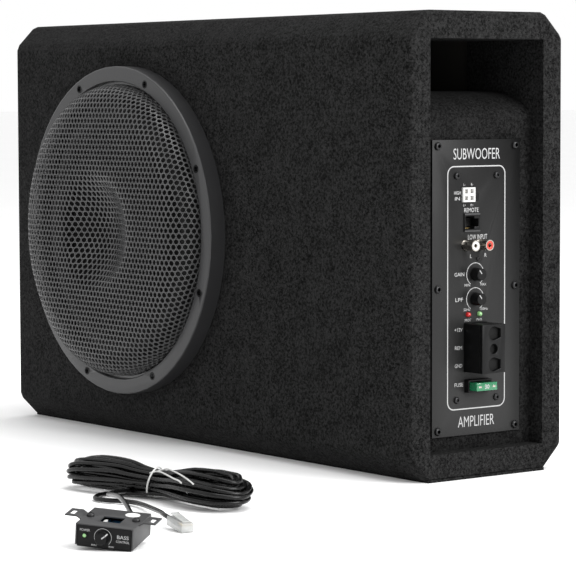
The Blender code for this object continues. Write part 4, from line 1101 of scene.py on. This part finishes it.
# The test points in the fuse's top, and its rating.
tips = gather(
    [
        block(
            (FUSE_TOP - 0.0006, y - 0.0014, FUSE_Z - 0.0008),
            (FUSE_TOP + 0.0003, y + 0.0014, FUSE_Z + 0.0008),
            0.0002,
        )
        for y in (FUSE_Y - 0.0070, FUSE_Y + 0.0070)
    ]
)
keep(tips, "fuse_tips", "nickel", "fuse")
rating = lettering("30", (FUSE_Y, FUSE_Z), 0.0046, 0.0034, 0.02)
moved(rating, ON_PANEL, place(FUSE_TOP + INK_PROUD, 0, 0))
keep(rating, "fuse_rating", "ink", "fuse", smooth=False)

# ================================================================ the remote
smoothed("remote_bracket", soft=0.0003)
smoothed("remote_case", soft=0.0004)
smoothed("remote_led")
FRONT = ON_REMOTE @ place(0, -REMOTE_D / 2, 0) @ Matrix.Rotation(math.pi / 2, 4, "X")
plate = block((-0.0181, 0.0004, 0), (0.0181, 0.0143, 0.0003), 0.0003)
moved(plate, FRONT @ place(0, 0, -0.0001))
keep(plate, "remote_face", "black_plastic", "remote")
remote_ink = [
    lettering("POWER", (-0.0129, 0.0112), 0.0068, 0.0016, 0.004),
    lettering("BASS", (0.0127, 0.0088), 0.0078, 0.0024, 0.004),
    lettering("CONTROL", (0.0127, 0.0058), 0.0090, 0.0016, 0.004),
    lettering("MIN", (-0.0066, 0.0018), 0.0034, 0.0012, 0.004),
    lettering("MAX", (0.0052, 0.0018), 0.0036, 0.0012, 0.004),
    arc_line((-0.0007, 0.0075), 0.0058, -135, 135, 0.0003),
]
remote_print = moved(gather(remote_ink), FRONT @ place(0, 0, 0.00026))
keep(remote_print, "remote_print", "ink", "remote", smooth=False)
bezel = lathe([(0.0014, 0.0), (0.0024, 0.0), (0.0024, 0.0006), (0.0020, 0.0009), (0.0014, 0.0009)], 32)
moved(bezel, FRONT @ place(-0.0131, 0.0075, 0.0001))
keep(bezel, "led_bezel", "black_plastic", "remote")
KNOB = FRONT @ place(-0.0007, 0.0075, 0)
knob_shape = knurled(
    [
        (0.0, -0.0038), (0.0025, -0.0038), (0.0025, 0.0006), (0.0042, 0.0006), (0.0042, 0.0010),
        (0.0041, 0.0013), (0.0039, 0.0052), (0.0038, 0.0056), (0.0034, 0.0060), (0.0, 0.0060),
    ],
    56, 0.05, 0.0011, 0.0054, KNOB,
)
keep(knob_shape, "remote_knob_look", "black_plastic", "remote_knob", ("remote_knob",), 30.0)
line = block((-0.0004, 0.0010, 0.0060), (0.0004, 0.0036, 0.00608))
side_line = block((-0.0004, 0.0034, 0.0010), (0.0004, 0.00425, 0.0057))
pointer = gather([line, side_line])
REMOTE_KNOB_REST = math.radians(50.0)
moved(pointer, KNOB @ Matrix.Rotation(-REMOTE_KNOB_REST, 4, "Z"))
keep(pointer, "remote_pointer", "ink", "remote_knob", smooth=False)
TOP = ON_REMOTE @ place(0, 0, REMOTE_H)
heads = [
    moved(socket_screw(0.0026, 0.0024, 0.0014, 0.0014), place(s * 0.0155, -0.0010, -0.0001))
    for s in (-1, 1)
]
keep(moved(gather(heads), TOP), "cover_screws", "black_steel", "remote")
disc = lathe([(0.0, 0.00005), (0.0049, 0.00005), (0.0049, 0.00020), (0.0, 0.00020)], 48)
moved(disc, TOP @ place(0.0095, 0.0112, 0))
keep(disc, "cover_sticker", "sticker", "remote")
connector = block((-0.0064, -0.0090, -0.0050), (-0.0044, 0.0020, -0.0020), 0.0003)
keep(moved(connector, TOP), "board_connector", "white_nylon", "remote")
chips = gather(
    [
        block((-0.0025, -0.0010, -0.0052), (0.0015, 0.0018, -0.0038), 0.0002),
        block((0.0032, -0.0015, -0.0052), (0.0058, 0.0020, -0.0036), 0.0002),
    ]
)
keep(moved(chips, TOP), "board_chips", "black_plastic", "remote")
RELIEF_LINE = [(0.0020, -0.0004), (0.0034, -0.0004), (0.0034, 0.0012), (0.0030, 0.0022)]
RELIEF_LINE += [(0.0024, 0.0085), (0.0020, 0.0090)]
relief = lathe(RELIEF_LINE, 28, OUT_FRONT)
RELIEF = ON_REMOTE @ place(*CABLE_EXIT) @ Matrix.Rotation(math.pi, 4, "Z")
keep(moved(relief, RELIEF), "strain_relief", "rubber", "remote")
